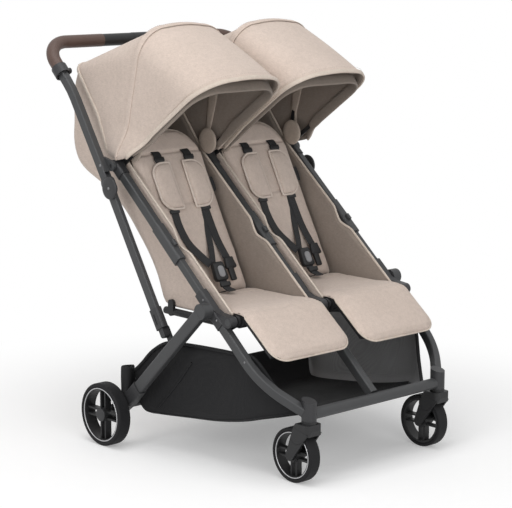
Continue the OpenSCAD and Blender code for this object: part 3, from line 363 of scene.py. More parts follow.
def put(name, points, faces, finishes):
    mesh = bpy.data.meshes.new(name)
    mesh.from_pydata(np.asarray(points, float).tolist(), [], [tuple(int(i) for i in f) for f in faces])
    for finish in finishes:
        mesh.materials.append(finish)
    mesh.polygons.foreach_set("use_smooth", [True] * len(mesh.polygons))
    mesh.update()
    made = bpy.data.objects.new(name, mesh)
    scene.collection.objects.link(made)
    return made


def flipped(faces):
    return [tuple(reversed(f)) for f in faces]


def turned(points, faces, sign):
    points = np.asarray(points, float) * [sign, 1, 1]
    return points, faces if sign > 0 else flipped(faces)


def settle(made):
    """Turn a piece and its modifiers into a plain mesh."""
    mesh = bpy.data.meshes.new_from_object(made.evaluated_get(bpy.context.evaluated_depsgraph_get()))
    made.modifiers.clear()
    made.data = mesh
    return made


def grid(rows, cols, wrap=False):
    last = cols if wrap else cols - 1
    return [(i * cols + j, i * cols + (j + 1) % cols, (i + 1) * cols + (j + 1) % cols, (i + 1) * cols + j)
            for i in range(rows - 1) for j in range(last)]


def unit(v):
    v = np.asarray(v, float)
    return v / np.maximum(np.linalg.norm(v, axis=-1, keepdims=True), 1e-12)


def smooth(points, steps=6):
    """A line through given points, as in the CAD source."""
    p = np.asarray(points, float)
    out = []
    for i in range(len(p) - 1):
        a, b, c, d = p[max(i - 1, 0)], p[i], p[i + 1], p[min(i + 2, len(p) - 1)]
        for k in range(steps):
            f = k / steps
            out.append(0.5 * (2*b + (c - a)*f + (2*a - 5*b + 4*c - d)*f*f + (3*b - a - 3*c + d)*f**3))
    return np.array(out + [p[-1]])


def spaced(path, count):
    path = np.asarray(path, float)
    along = np.concatenate([[0], np.cumsum(np.linalg.norm(np.diff(path, axis=0), axis=1))])
    at = np.linspace(0, along[-1], count)
    return np.stack([np.interp(at, along, path[:, k]) for k in range(path.shape[1])], axis=1)


def section(width, thick, corners, squareness):
    a = np.arange(corners) * 2 * math.pi / corners
    e = 2 / squareness
    return np.stack([width / 2 * np.sign(np.cos(a)) * np.abs(np.cos(a)) ** e,
                     thick / 2 * np.sign(np.sin(a)) * np.abs(np.sin(a)) ** e], axis=1)


def circle(count):
    return np.linspace(0, 2 * math.pi, count + 1)[:-1]


def fans(points, faces):
    """Corners of the triangles that fan out over each face."""
    p = np.asarray(points, float)
    for f in faces:
        for i in range(1, len(f) - 1):
            yield p[f[0]], p[f[i]], p[f[i + 1]]


def cloth_area(points, faces):
    return sum(np.linalg.norm(np.cross(b - a, c - a)) / 2 for a, b, c in fans(points, faces))


def right_way(points, faces):
    """A closed mesh with its faces looking outwards."""
    volume = sum(a @ np.cross(b, c) for a, b, c in fans(points, faces))
    return faces if volume > 0 else flipped(faces)


def outward(points, faces, middle, at):
    """Faces turned so that the one nearest to `at` looks away from `middle`."""
    p = np.asarray(points, float)
    centres = np.array([p[list(f)].mean(0) for f in faces])
    f = faces[int(np.argmin(np.linalg.norm(centres - at, axis=1)))]
    normal = np.cross(p[f[1]] - p[f[0]], p[f[2]] - p[f[0]])
    return flipped(faces) if normal @ (p[f[0]] - middle) < 0 else faces


def sweep(path, up, outline, closed=False):
    """Points and faces of an outline carried along a path; up is the outline's second axis."""
    path = np.asarray(path, float)
    n, k = len(path), len(outline)
    if closed:
        tangent = unit(np.roll(path, -1, axis=0) - np.roll(path, 1, axis=0))
    else:
        tangent = unit(np.gradient(path, axis=0))
    side = unit(np.cross(tangent, np.broadcast_to(np.asarray(up, float), path.shape)))
    up = np.cross(side, tangent)
    wide, high = outline[None, :, :1], outline[None, :, 1:]
    points = (path[:, None] + side[:, None] * wide + up[:, None] * high).reshape(-1, 3)
    faces = grid(n, k, True)
    if closed:
        faces += [((n - 1) * k + j, (n - 1) * k + (j + 1) % k, (j + 1) % k, j) for j in range(k)]
    else:
        faces += [tuple(reversed(range(k))), tuple(range((n - 1) * k, n * k))]
    return points, right_way(points, flipped(faces))


def capped(rings):
    """A stack of rings, in millimetres, as a skin that is closed at both ends."""
    n = len(rings[0])
    last = (len(rings) - 1) * n
    points = np.vstack(rings) * MM
    faces = grid(len(rings), n, True) + [tuple(reversed(range(n))), tuple(range(last, last + n))]
    return points, right_way(points, faces)


def joined(parts):
    points, faces, base = [], [], 0
    for p, f in parts:
        points.append(p)
        faces += [tuple(i + base for i in face) for face in f]
        base += len(p)
    return np.vstack(points), faces


def dressed(made, body, slot, *stands_for):
    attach(made, body)
    if stands_for:
        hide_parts(*stands_for)
    return made


def fitted(name, shape, sign, finish, body, slot):
    """A shape written for the left, put on its side and on its body."""
    return dressed(put(name, *turned(*shape, sign), [finish]), body, slot)


def thicken(made, thick):
    """Give a sheet its thickness inwards, with its second finish on the inner face."""
    shell = made.modifiers.new("wall", "SOLIDIFY")
    shell.thickness = thick
    shell.offset = -1
    shell.material_offset = 1
    shell.material_offset_rim = 0
    return settle(made)


print("helpers ready")

# %% [markdown]
# ## Hoods
# A hood is one arched cloth over two bows. Each bow turns on the handle's pivot, so the cloth is cut into a
# rear panel between the frame and the middle bow and a front panel between the bows.

# %% Hood lines
PIVOT = np.array([177.175, 695.966])
HOOD_IN = 11.4
HOOD_OUT = 285.6
REAR = (53.0, 300.0, 26.0)
MID = (104.0, 351.0, 76.0)
BRIM = (145.4, 396.0, 92.0)
BOW = (104.0, 344.25, 70.25)
BRIM_BOW = (145.0, 354.25, 64.25)
LOW = 22.0
CROWN_RISE = 5.0
ROUND_SHARE = (0.0, 0.16)
LOBE_REACH = 150.0
LOBE_HALF = 50.0
LOBE_TOP = 24.0
LOBE_DROP = 10.0
FLARE = 22.9
FLARE_FROM = 88.0
FLARE_REACH = 95.0
FLARE_SPREAD = 14.0
HOOD_X = 0.1485
PANEL_ROWS = 19
SIDE_STEPS = 14
TURN_STEPS = 11
CROWN_STEPS = 11


def arch(reach, shoulder, low, inset, rise):
    """(x, reach) of one line of the hood, from the inner side over the crown to the outer side."""
    x0, x1 = HOOD_IN + inset, HOOD_OUT - inset
    side = [(x0, v) for v in np.linspace(low, reach - shoulder, SIDE_STEPS)[:-1]]
    turn = [(x0 + shoulder * (1 - math.cos(a)), reach - shoulder + shoulder * math.sin(a))
            for a in np.linspace(0, math.pi / 2, TURN_STEPS)]
    across = np.linspace(x0 + shoulder, x1 - shoulder, CROWN_STEPS)[1:-1]
    half = (x1 - x0) / 2 - shoulder
    middle = [(x, reach + rise * (1 - ((x - (x0 + x1) / 2) / half) ** 2)) for x in across]
    other = [(x0 + x1 - x, v) for x, v in reversed(side + turn)]
    return np.array(side + turn + middle + other)


def hood_line(angle, reach, shoulder, low=LOW, inset=0.0, rise=CROWN_RISE):
    """One line of the hood in place; its low ends follow the round lobes beside the pivot."""
    line = arch(reach, shoulder, low, inset, rise)
    a = math.radians(angle)
    g = np.clip((angle - REAR[0]) / (BRIM[0] - REAR[0]), 0, 1) * math.pi
    pull = np.clip((LOBE_REACH - line[:, 1]) / (LOBE_REACH - LOW), 0, 1)
    y = line[:, 1] * math.cos(a) + pull * (LOBE_HALF * math.cos(g) - LOW * math.cos(a))
    z = line[:, 1] * math.sin(a) + pull * (LOBE_TOP - LOBE_DROP * math.sin(g) - LOW * math.sin(a))
    near = np.clip(1 - (line[:, 1] - LOW) / FLARE_REACH, 0, 1)
    grow = np.clip((angle - FLARE_FROM) / FLARE_SPREAD, 0, 1)
    outer = line[:, 0] > HOOD_OUT - inset - 1
    x = line[:, 0] + np.where(outer, FLARE * grow * near * near * (3 - 2 * near), 0)
    return np.stack([x, PIVOT[0] + y, PIVOT[1] + z], axis=1) * MM


def hood_panel(start, end, roundness):
    """Cloth drawn tight between two lines, with some roundness left in it."""
    first, last = hood_line(*start), hood_line(*end)
    lines = []
    for f in np.linspace(0, 1, PANEL_ROWS):
        swung = hood_line(*(a + (b - a) * f for a, b in zip(start, end)))
        taut = first + (last - first) * f
        lines.append(taut + (swung - taut) * roundness)
    return np.vstack(lines), grid(PANEL_ROWS, len(first))


def pole(angle, reach):
    """The middle of a hood line, in metres."""
    a = math.radians(angle)
    return (HOOD_X, (PIVOT[0] + reach * math.cos(a)) * MM, (PIVOT[1] + reach * math.sin(a)) * MM)


# %% Hood panels
HOOD_MIDDLE = np.array([HOOD_X, *(PIVOT * MM)])
CLOTH_THICK = 0.0022
CROWN_REACH = 340
CORNER_LOSS = 100
for side, sign in SIDES:
    hood, brim = "hood_" + side, "brim_" + side
    for label, node, start, end, roundness, bodies in (
            ("hood_rear_panel_", "hood_back_", REAR, MID, ROUND_SHARE[0], ("front_frame", hood)),
            ("hood_front_panel_", "hood_front_", MID, BRIM, ROUND_SHARE[1], (hood, brim))):
        points, faces = hood_panel(start, end, roundness)
        crown = np.array(pole((start[0] + end[0]) / 2, CROWN_REACH))
        faces = outward(points, faces, HOOD_MIDDLE, crown)
        area = cloth_area(points, faces)
        # Its inner face wears the painted shade.
        panel = put(label + side, *turned(points, faces, sign), [canvas, painted_shade_inner])
        panel = thicken(panel, CLOTH_THICK)
        long = (start[1] + end[1] + HOOD_OUT - HOOD_IN - CORNER_LOSS) * MM
        area / long
        pole(*start[:2])
        pole(*end[:2])
        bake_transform(panel)
        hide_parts(node + side)
        print(panel.name, "cut", round(area, 3), "m2")

# %% [markdown]
# ## Sleeves and hems
# On the real hood each bow slides into a sewn sleeve, and each free edge is bound. Each is a flat strip
# swept along its own line of the hood, and it narrows towards the pivot, where the lines meet.

# %% Bow sleeves and the hem of the brim
NARROWING = 0.2
BAND_POINTS = 96
BAND_CORNERS = 12


def band(bow, offset, inset, low, width, thick, rise):
    """A strip along a bow, its width round the pivot and its thickness across the cloth."""
    angle, reach, shoulder = bow
    path = spaced(hood_line(angle, reach + offset, shoulder + offset, low, inset, rise), BAND_POINTS)
    a = math.radians(angle)
    spread = np.array([0, -math.sin(a), math.cos(a)])
    tangent = unit(np.gradient(path, axis=0))
    up = unit(np.cross(np.broadcast_to(spread, path.shape), tangent))
    out = np.sign(((path - HOOD_MIDDLE) * up).sum(1, keepdims=True))
    points, faces = sweep(path, up * out, section(width * MM, thick * MM, BAND_CORNERS, 4))
    centre = np.repeat(path, BAND_CORNERS, axis=0)
    away = np.linalg.norm((centre - HOOD_MIDDLE)[:, 1:], axis=1)
    thin = 1 - np.clip(away / (width * MM / NARROWING), 0, 1)
    across = ((points - centre) @ spread)[:, None] * spread
    return points - across * thin[:, None], faces


# The bow sleeve and the brim sleeve wear painted shade, darker copies of the canvas.
for side, sign in SIDES:
    for label, bow, offset, inset, low, width, thick, finish, body in (
            ("bow_channel_", MID, 0.8, -0.8, 24, 17, 2.8, canvas, "hood_"),
            ("bow_sleeve_", BOW, -1.0, 4.0, 40, 30, 5.0, painted_shade_cloth, "hood_"),
            ("brim_hem_", BRIM, 0.4, -0.6, 22, 11, 5.0, binding, "brim_"),
            ("brim_sleeve_", BRIM_BOW, 0.0, 8.35, 40, 28, 6.4, painted_deep_shade_cloth, "brim_"),
            ("rear_hem_", REAR, 0.2, -0.4, 24, 9, 4.0, binding, "front_frame")):
        rise = 0.0 if bow in (BOW, BRIM_BOW) else CROWN_RISE
        body = body if body == "front_frame" else body + side
        shape = band(bow, offset, inset, low, width, thick, rise)
        fitted(label + side, shape, sign, finish, body, "cloth")
print("hood bands made")

# %% [markdown]
# ## Hood tabs
# A soft round tab covers each hood pivot on the inside. It is a disc of rings that follow a rounded edge,
# and the same disc serves later for hard caps.

# %% Padded tabs over the hood pivots
TAB_AT = (146.0, 739.0)
TAB_R = 33.0
TAB_THICK = 7.0
TAB_X = (28.0, 269.0)
DISC_EDGE = ((0.12, 0.5), (0.5, 0.5), (0.86, 0.46), (0.97, 0.28), (1.0, 0.0),
             (0.97, -0.28), (0.86, -0.46), (0.5, -0.5), (0.12, -0.5))


def disc(x, centre, radius, thick):
    """A soft round tab standing across X."""
    a = circle(48)
    rings = []
    for share, lift in DISC_EDGE:
        r = radius * share
        rings.append(np.column_stack([np.full(len(a), x + thick * lift),
                                      centre[0] + r * np.cos(a), centre[1] + r * np.sin(a)]))
    return capped(rings)


for side, sign in SIDES:
    tabs = joined([disc(x, TAB_AT, TAB_R, TAB_THICK) for x in TAB_X])
    # The tabs wear the painted shade.
    pad = put("hood_tabs_" + side, *turned(*tabs, sign), [painted_shade_cloth])
    dressed(pad, "front_frame", "cloth")
print("hood tabs made")

# %% [markdown]
# ## Seat shells
# Each seat is a sewn tub: a floor that runs on into a slack rear wall, and two side walls that hang from the
# front tubes. It is lofted as one sheet: every station is a U between a point of the rear line and a point
# of the front edge, with a soft corner where wall and belt meet.

# %% Seat shells
HINGE = np.array([-177.0, 387.0])
SLOPE = math.radians(41.1)
TUBE_ALONG = np.array([math.cos(SLOPE), math.sin(SLOPE)])
TUBE_OFF = np.array([-math.sin(SLOPE), math.cos(SLOPE)])
CREASE = np.array([-7.0, 374.0])
SEAT_FLOOR = 362.5
SEAT_FRONT = -223.1
SEAT_IN = 22.0
SEAT_OUT = 275.0
SEAT_MID = (SEAT_IN + SEAT_OUT) / 2
SEAT_CORNER = 15.0
STATIONS = 72
EDGE_LIFT = 24
EDGE_TOP = (470, 15)
TUBE_SHARE = 0.72
BELLY = 3.0
SLACK_RUN = 200
NOTCH_AT = 196.0
NOTCH_HALF = 34.0
NOTCH_DEPTH = 15.0
SHELL_THICK = 0.003
BINDING_IN = 1.5
TUB_LINE = [(6, 362.5), (24, 362.8), (36, 376), (46, 406), (56, 438), (82, 482), (122, 530), (168, 580),
            (256, 634), (312, 664), (366, 696), (389, 738), (388, 792), (389, 846), (378, 896), (358.5, 932)]
SLACK_LINE = [(6, 362.5), (42, 396), (127, 506), (248, 616), (366, 666), (398, 716), (391, 793), (384, 870),
              (360, 940)]


def on_tube(t, off):
    return HINGE + t * TUBE_ALONG + off * TUBE_OFF


def seat_shell():
    """Points, faces and front edge of one tub: its corners as photographed, its middle slack."""
    rear = smooth(TUB_LINE)
    belt = spaced(np.vstack([[(SEAT_FRONT, SEAT_FLOOR)], rear]), STATIONS)
    hung = spaced(np.vstack([[(SEAT_FRONT, SEAT_FLOOR)], smooth(SLACK_LINE)]), STATIONS)
    edge_low = on_tube((SEAT_FRONT - HINGE[0] + EDGE_LIFT * math.sin(SLOPE)) / math.cos(SLOPE), EDGE_LIFT)
    edge_low[0] = SEAT_FRONT
    top = on_tube(*EDGE_TOP)
    edge = spaced(np.vstack([edge_low, top]), int(STATIONS * TUBE_SHARE))
    for i, p in enumerate(edge):
        t = (p - HINGE) @ TUBE_ALONG
        notch = NOTCH_DEPTH * np.clip(1 - abs(t - NOTCH_AT) / NOTCH_HALF, 0, 1) ** 0.6
        edge[i] = p - notch * TUBE_OFF
    upper = spaced(np.vstack([top, rear[-1] + [-1.5, 2.0]]), STATIONS - len(edge) + 1)
    edge = np.vstack([edge, upper[1:]])
    lines = []
    for b, h, e in zip(belt, hung, edge):
        run = np.linalg.norm(b - e)
        way = (b - e) / max(run, 1e-6)
        c = min(SEAT_CORNER, run * 0.45)
        wall = [(SEAT_OUT, s) for s in np.linspace(0, run - c, 9)[:-1]]
        turn = [(SEAT_OUT - c * (1 - math.cos(a)), run - c + c * math.sin(a))
                for a in np.linspace(0, math.pi / 2, 7)]
        mid = [(x, run) for x in np.linspace(SEAT_OUT - c, SEAT_IN + c, 13)[1:-1]]
        half = wall + turn
        line = half + mid + [(SEAT_IN + SEAT_OUT - x, s) for x, s in reversed(half)]
        slack = min(1.0, run / SLACK_RUN)
        row = []
        for x, s in line:
            u = (x - SEAT_MID) / (SEAT_OUT - SEAT_MID)
            hang = max(0.0, 1 - u ** 10) * (s / max(run, 1e-6)) ** 3
            belly = BELLY * math.sin(math.pi * s / max(run, 1e-6)) * slack * abs(u) ** 6
            p = e + way * s + (h - b) * hang
            row.append((x - math.copysign(belly, u), p[0], p[1]))
        lines.append(np.array(row) * MM)
    return np.vstack(lines), grid(STATIONS, len(lines[0])), edge


shell_points, shell_faces, shell_edge = seat_shell()
shell_faces = outward(shell_points, shell_faces, mm(SEAT_MID, 60, 520), mm(SEAT_OUT, 60, 520))
shell_area = cloth_area(shell_points, shell_faces)
for side, sign in SIDES:
    # Its inner face wears the painted shade.
    shell = put("seat_shell_" + side, *turned(shell_points, shell_faces, sign), [canvas, painted_shade_inner])
    shell = thicken(shell, SHELL_THICK)
    dressed(shell, "front_frame", "cloth", "seat_tub_" + side)
    edges = []
    for x in (SEAT_IN + BINDING_IN, SEAT_OUT - BINDING_IN):
        path = np.array([(x, p[0], p[1]) for p in spaced(shell_edge, 90)]) * MM
        edges.append(sweep(path, (1, 0, 0), section(0.006, 0.0055, 10, 2)))
    fitted("seat_binding_" + side, joined(edges), sign, binding, "front_frame", "cloth")
print("seat shell cut", round(shell_area, 3), "m2")

# %% [markdown]
# ## Stuffed pads
# A pad is two sheets sewn round the edge and blown up by its filling. The code does just that: a flat
# lens, remeshed to even quads, pressed out by Cloth pressure for a few frames, capped, and smoothed. Seams
# are pressed in afterwards, because a remesh would close them.

# %% Stuffing by simulation
FRAMES = 20
VOXEL = 0.005
PRESSURE = 4.0


def lens(outline, high, low):
    rings = (1.0, 0.97, 0.9, 0.75, 0.5, 0.25)
    outline = np.asarray(outline, float)
    centre = outline.mean(0)
    n = len(outline)
    points = []
    for up, height in ((1, high), (-1, low)):
        for q in rings if up > 0 else rings[1:]:
            h = up * height * math.sqrt(max(0.0, 1 - q ** 4))
            ring = centre + (outline - centre) * q
            points += [(u, v, h) for u, v in ring]
    points += [(centre[0], centre[1], high), (centre[0], centre[1], -low)]
    k = len(rings)
    faces = []
    for i in range(k - 1):
        for j in range(n):
            m = (j + 1) % n
            faces.append((i * n + j, i * n + m, (i + 1) * n + m, (i + 1) * n + j))
            lower = (k + i - 1) * n if i else 0
            under = (k + i) * n
            faces.append((lower + j, under + j, under + m, lower + m))
    top, bottom = len(points) - 2, len(points) - 1
    for j in range(n):
        m = (j + 1) % n
        faces.append(((k - 1) * n + j, (k - 1) * n + m, top))
        faces.append(((2 * k - 2) * n + m, (2 * k - 2) * n + j, bottom))
    return np.array(points), faces


def coords(mesh):
    co = np.zeros(len(mesh.vertices) * 3, np.float64)
    mesh.vertices.foreach_get("co", co)
    return co.reshape(-1, 3)


def stuffed(name, outline, high, low, cap):
    """A pad in its own flat frame, in metres: (points, faces). Its sewn edge keeps its cut line."""
    points, faces = lens(np.asarray(outline) * MM, high * MM, low * MM)
    work = put(name + "_work", points, faces, [])
    remesh = work.modifiers.new("even", "REMESH")
    remesh.mode = "VOXEL"
    remesh.voxel_size = VOXEL
    settle(work)
    start = coords(work.data)
    moved = start
    cloth = work.modifiers.new("filling", "CLOTH")
    cloth.settings.use_pressure = True
    cloth.settings.uniform_pressure_force = PRESSURE
    cloth.settings.effector_weights.gravity = 0
    cloth.settings.quality = 4
    for step in range(1, FRAMES + 1):
        scene.frame_set(step)
    shown_mesh = work.evaluated_get(bpy.context.evaluated_depsgraph_get()).to_mesh()
    moved = coords(shown_mesh)
    work.modifiers.clear()
    scene.frame_set(1)
    step = (moved - start) * [0.0, 0.0, 1.0]
    size = np.linalg.norm(step, axis=1, keepdims=True)
    start = start + step * np.minimum(1, cap * MM / np.maximum(size, 1e-9))
    work.data.vertices.foreach_set("co", start.astype(np.float32).ravel())
    rounder = work.modifiers.new("rounder", "SUBSURF")
    rounder.levels = 1
    rounder.render_levels = 1
    settle(work)
    points = coords(work.data)
    faces = [tuple(p.vertices) for p in work.data.polygons]
    mesh = work.data
    bpy.data.objects.remove(work)
    bpy.data.meshes.remove(mesh)
    print(name, len(points), "points")
    return points, faces


def pressed(points, line, width, depth):
    """Press a seam into the upper face along a line of (u, v) points."""
    p = points.copy()
    line = np.asarray(line, float) * MM
    best = np.full(len(p), 1e9)
    for a, b in zip(line[:-1], line[1:]):
        d = b - a
        t = np.clip(((p[:, :2] - a) @ d) / (d @ d), 0, 1)
        best = np.minimum(best, np.linalg.norm(p[:, :2] - a - t[:, None] * d, axis=1))
    p[:, 2] -= np.where(p[:, 2] > 0, depth * MM * np.exp(-(best / (width * MM)) ** 2), 0)
    return p


def rounded(width, length, low_r, high_r, waist=0.0, narrow=0.0, per=9):
    """Outline of a pad from v = 0 to its length, with its own corner radii and slightly drawn-in sides."""
    corners = ((1, low_r, 0.0, -90), (1, high_r, length, 0), (-1, high_r, length, 90), (-1, low_r, 0.0, 180))
    out = []
    for s, r, v, a0 in corners:
        cv = v + r if v == 0 else v - r
        for k in range(per + 1):
            a = math.radians(a0 + 90 * k / per)
            out.append((s * (width / 2 - r) + r * math.cos(a), cv + r * math.sin(a)))
    out = np.array(out + out[:1])
    out = spaced(out, 97)[:-1]
    f = out[:, 1] / length
    draw = 1 - waist * np.sin(np.pi * np.clip(f, 0, 1)) - narrow * np.clip((f - 0.25) / 0.5, 0, 1)
    out[:, 0] *= draw
    return out


# %% [markdown]
# ## Placing pads
# A pad is made flat, as (u, v, h): across, along and out of its face. Each place on the stroller is an
# origin and two directions in the side view, so one function carries a pad, its piping and straps there.


# %% Places on the stroller
def placed(points, origin, along, out):
    """Flat points (u, v, h) in metres to the stroller; origin, along and out are side-view pairs."""
    p = np.asarray(points, float)
    along, out = np.asarray(along, float), np.asarray(out, float)
    side = np.asarray(origin, float) * MM + p[:, 1:2] * along + p[:, 2:3] * out
    return np.column_stack([p[:, 0] + SEAT_MID * MM, side])


BACK_LEAN = math.radians(28)
BACK_UP = np.array([math.sin(BACK_LEAN), math.cos(BACK_LEAN)])
BACK_OUT = np.array([-math.cos(BACK_LEAN), math.sin(BACK_LEAN)])
KNEE = np.array([-242.127, 367.343])
REST_SLOPE = math.radians(38.8)
REST_DOWN = np.array([-math.cos(REST_SLOPE), -math.sin(REST_SLOPE)])
REST_OUT = np.array([-math.sin(REST_SLOPE), math.cos(REST_SLOPE)])
PLACES = {
    "back": (CREASE + 2.8 * BACK_OUT + 16 * BACK_UP, BACK_UP, BACK_OUT),
    "rest": (KNEE + 23.0 * REST_OUT + 0.5 * REST_DOWN, REST_DOWN, REST_OUT),
    "seat": ((-23.0, SEAT_FLOOR + 11.3), (-1.0, 0.0), (0.0, 1.0)),
}


def piping(outline, place, height, radius):
    loop = np.column_stack([np.asarray(outline) * MM, np.full(len(outline), height * MM)])
    up = np.array([0, place[2][0], place[2][1]])
    return sweep(placed(loop, *place), up, section(2 * radius * MM, 2 * radius * MM, 8, 2), True)


# %% Back pads, seat pads and leg rests
BACK_TUCK = 14.0
EDGE_GROWTH = [1.006, 1.0]
CORD_R = 2.2
back_outline = rounded(227, 430 + BACK_TUCK, 10, 82, 0.008, 0.02) - [0, BACK_TUCK]
rest_outline = rounded(251, 152, 16, 40, 0.008)
seat_outline = rounded(241, 196, 20, 12, 0.006)
BACK_SEAMS = (([(-105, 364), (105, 364)], 4.0, 5.0), ([(-52, 226), (52, 226)], 4.5, 3.0))
REST_SEAMS = (([(-118, 132), (-118, 20)], 3.0, 1.2), ([(118, 132), (118, 20)], 3.0, 1.2),
              ([(-100, 143), (100, 143)], 3.0, 1.2))
SEAT_SEAMS = (([(-110, 62), (110, 62)], 5.0, 1.6),)
# The back cushion wears the painted light.
PADS = (
    ("back_cushion", "back", back_outline, 15.5, 5.5, 7, "seat_back_", "back_pad_", painted_light_canvas, 0.7,
     BACK_SEAMS),
    ("leg_rest_cushion", "rest", rest_outline, 11.5, 4.0, 5, "leg_rest_", "leg_rest_pad_", canvas, 0.5,
     REST_SEAMS),
    ("seat_cushion", "seat", seat_outline, 11.0, 7.0, 6, "front_frame", None, canvas, 0.6, SEAT_SEAMS),
)
for label, where, outline, high, low, cap, body, node, finish, fill, seams in PADS:
    flat, flat_faces = stuffed(label, outline * EDGE_GROWTH, high, low, cap)
    for line, width, depth in seams:
        flat = pressed(flat, line, width, depth)
    at = placed(flat, *PLACES[where])
    flat_faces = right_way(at, flat_faces)
    for side, sign in SIDES:
        pad = put(label + "_" + side, *turned(at, flat_faces, sign), [finish])
        if node:
            dressed(pad, body + side, "cloth", node + side)
            edge = piping(outline, PLACES[where], 0.0, CORD_R)
            fitted(label + "_piping_" + side, edge, sign, binding, body + side, "cloth")
        else:
            dressed(pad, body, "cloth")
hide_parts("seat_pads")

# %% [markdown]
# ## Knee covers
# The canvas runs on from the seat over the knee bar on to the leg rest. It crosses a joint, so it is a sheet
# of its own; it stays where it is made and rides on neither the frame nor the leg rest.

# %% Knee covers
KNEE_LINE = [(-178, 388.0), (-205, 391.0), (-236, 393.0), (-258, 391.0), (-272, 384.5), (-281, 374.0)]
HALF_KNEE = 124.5
KNEE_THICK = 0.002
EDGE_DROP = 9.0
knee_path = spaced(smooth(KNEE_LINE), 26)
across = np.linspace(-1, 1, 29)
rows = []
for y, z in knee_path:
    drop = EDGE_DROP * np.abs(across) ** 9
    rows.append(np.column_stack([SEAT_MID + HALF_KNEE * across, np.full(len(across), y), z - drop]) * MM)
knee_points, knee_faces = np.vstack(rows), grid(len(knee_path), len(across))
knee_faces = outward(knee_points, knee_faces, mm(SEAT_MID, -235, 340), mm(SEAT_MID, -235, 395))
knee_area = cloth_area(knee_points, knee_faces)
for side, sign in SIDES:
    # Its inner face wears the painted shade.
    cover = put("knee_cover_" + side, *turned(knee_points, knee_faces, sign), [canvas, painted_shade_inner])
    cover = thicken(cover, KNEE_THICK)
    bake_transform(cover)
print("knee covers cut", round(knee_area, 3), "m2")

# %% [markdown]
# ## Harness
# Each seat has two padded shoulder straps. The webbing leaves a slot under the head seam, runs through the
# pad and ends in a tongue. Pads are stuffed as the cushions are, and webbing is a flat section swept along a
# few points on the back's face.

# %% Shoulder pads, webbing and tongues
PAD_IN = 15.0
PAD_WIDE = 67.0
PAD_LOW = 210.0
PAD_LEN = 124.0
FACE = 20.0
PAD_FACE = FACE + 8


def flap(width, length, inner_r, outer_r):
    """A pad's outline with small corners towards the strap and large ones away from it."""
    whole = rounded(2 * (width - inner_r), length, outer_r, outer_r)
    keep = np.array([p for p in whole if p[0] >= 0])
    keep = keep[np.argsort(np.arctan2(keep[:, 1] - length / 2, keep[:, 0]))]
    return spaced(np.vstack([keep, keep[:1]]) + [inner_r, 0], 97)[:-1]


strap_outline = flap(PAD_WIDE, PAD_LEN, 4.0, 34.0)
flat, flat_faces = stuffed("shoulder_pad", strap_outline * [0.985, 0.99] + [0.5, 0.6], 9.0, 5.0, 4)


def strap(line, width, thick=2.2, turn=1):
    """Webbing through points (u, v, h) on the back, h from its face."""
    line = np.asarray(line, float) * [turn, 1, 1] + [0, 0, FACE]
    path = placed(spaced(smooth(line), 40) * MM, *PLACES["back"])
    return sweep(path, np.array([0, *BACK_OUT]), section(width * MM, thick * MM, 10, 5))


def moulding(u, v, h, width, length, thick, r, taper=0.0):
    """A soft-edged plastic block on the back, h from its face."""
    outline = rounded(width, length, r, r, 0, taper, 5)
    half = thick / 2 * MM
    points, faces = lens(outline * MM, half, half)
    points[:, 2] = np.sign(points[:, 2]) * thick / 2 * MM * np.abs(points[:, 2] / half) ** 0.4
    points += mm(u, v, FACE + h)
    at = placed(points, *PLACES["back"])
    return at, right_way(at, faces)


SLOT = ((0, 372, -12), (0, 366, -1), (1, 352, 5), (2, 326, 8))
TAG = [(107, 250, -9), (108, 266, -7), (108, 288, -8)]
STRAPS = ((24, [(-50, PAD_LOW + 10, 4), (-52, 170, 3), (-44, 120, 6), (-26, 80, 14), (-10, 52, 22)]),
          (24, [(48, PAD_LOW + 10, 4), (50, 165, 3), (51, 120, 5), (53, 78, 12), (54, 56, 17)]),
          (19, [(46, PAD_LOW + 2, 2), (34, 150, 2), (18, 95, 10), (0, 58, 20)]))
BLOCKS = ((54, 36, 18, 33, 30, 12, 4, 0.2), (50, 4, 19, 17, 36, 9, 4, 0.0),
          (-52, PAD_LOW - 10, 5, 30, 10, 6, 2.5), (50, PAD_LOW - 10, 5, 30, 10, 6, 2.5))
for side, sign in SIDES:
    pads, cords, webs = [], [], []
    for s in (-1, 1):
        at = placed((flat + mm(PAD_IN, PAD_LOW, PAD_FACE)) * [s, 1, 1], *PLACES["back"])
        pads.append((at, right_way(at, flat_faces)))
        cords.append(piping((strap_outline + [PAD_IN, PAD_LOW]) * [s, 1], PLACES["back"], PAD_FACE, 3.0))
        slot_u = s * (PAD_IN + 32)
        webs.append(strap([(slot_u + s * u, v, h) for u, v, h in SLOT], 26, 3.0))
    webs.append(strap(TAG, 13, 2.0, sign))
    webs += [strap(line, width, turn=sign) for width, line in STRAPS]
    plastics = [moulding(b[0] * sign, *b[1:]) for b in BLOCKS]
    plastics += [moulding(s * (PAD_IN + 33), 338, 7, 31, 12, 6, 2.5) for s in (-1, 1)]
    # The shoulder pads wear the painted light.
    pad = put("shoulder_pads_" + side, *turned(*joined(pads), sign), [painted_light_canvas])
    body = "seat_back_" + side
    dressed(pad, body, "cloth", "harness_" + side)
    fitted("shoulder_pad_piping_" + side, joined(cords), sign, pale_piping, body, "cloth")
    fitted("harness_webbing_" + side, joined(webs), sign, black_web, body, "dark_cloth")
    fitted("harness_tongues_" + side, joined(plastics), sign, moulded, body, "plastic")
print("harness made")

# %% [markdown]
# ## Buckles
# The buckle with its grey button hangs on the crotch strap, in front of the seat pad. It is three moulded
# blocks and a length of webbing, made with the harness's own functions, and it stays with the frame.

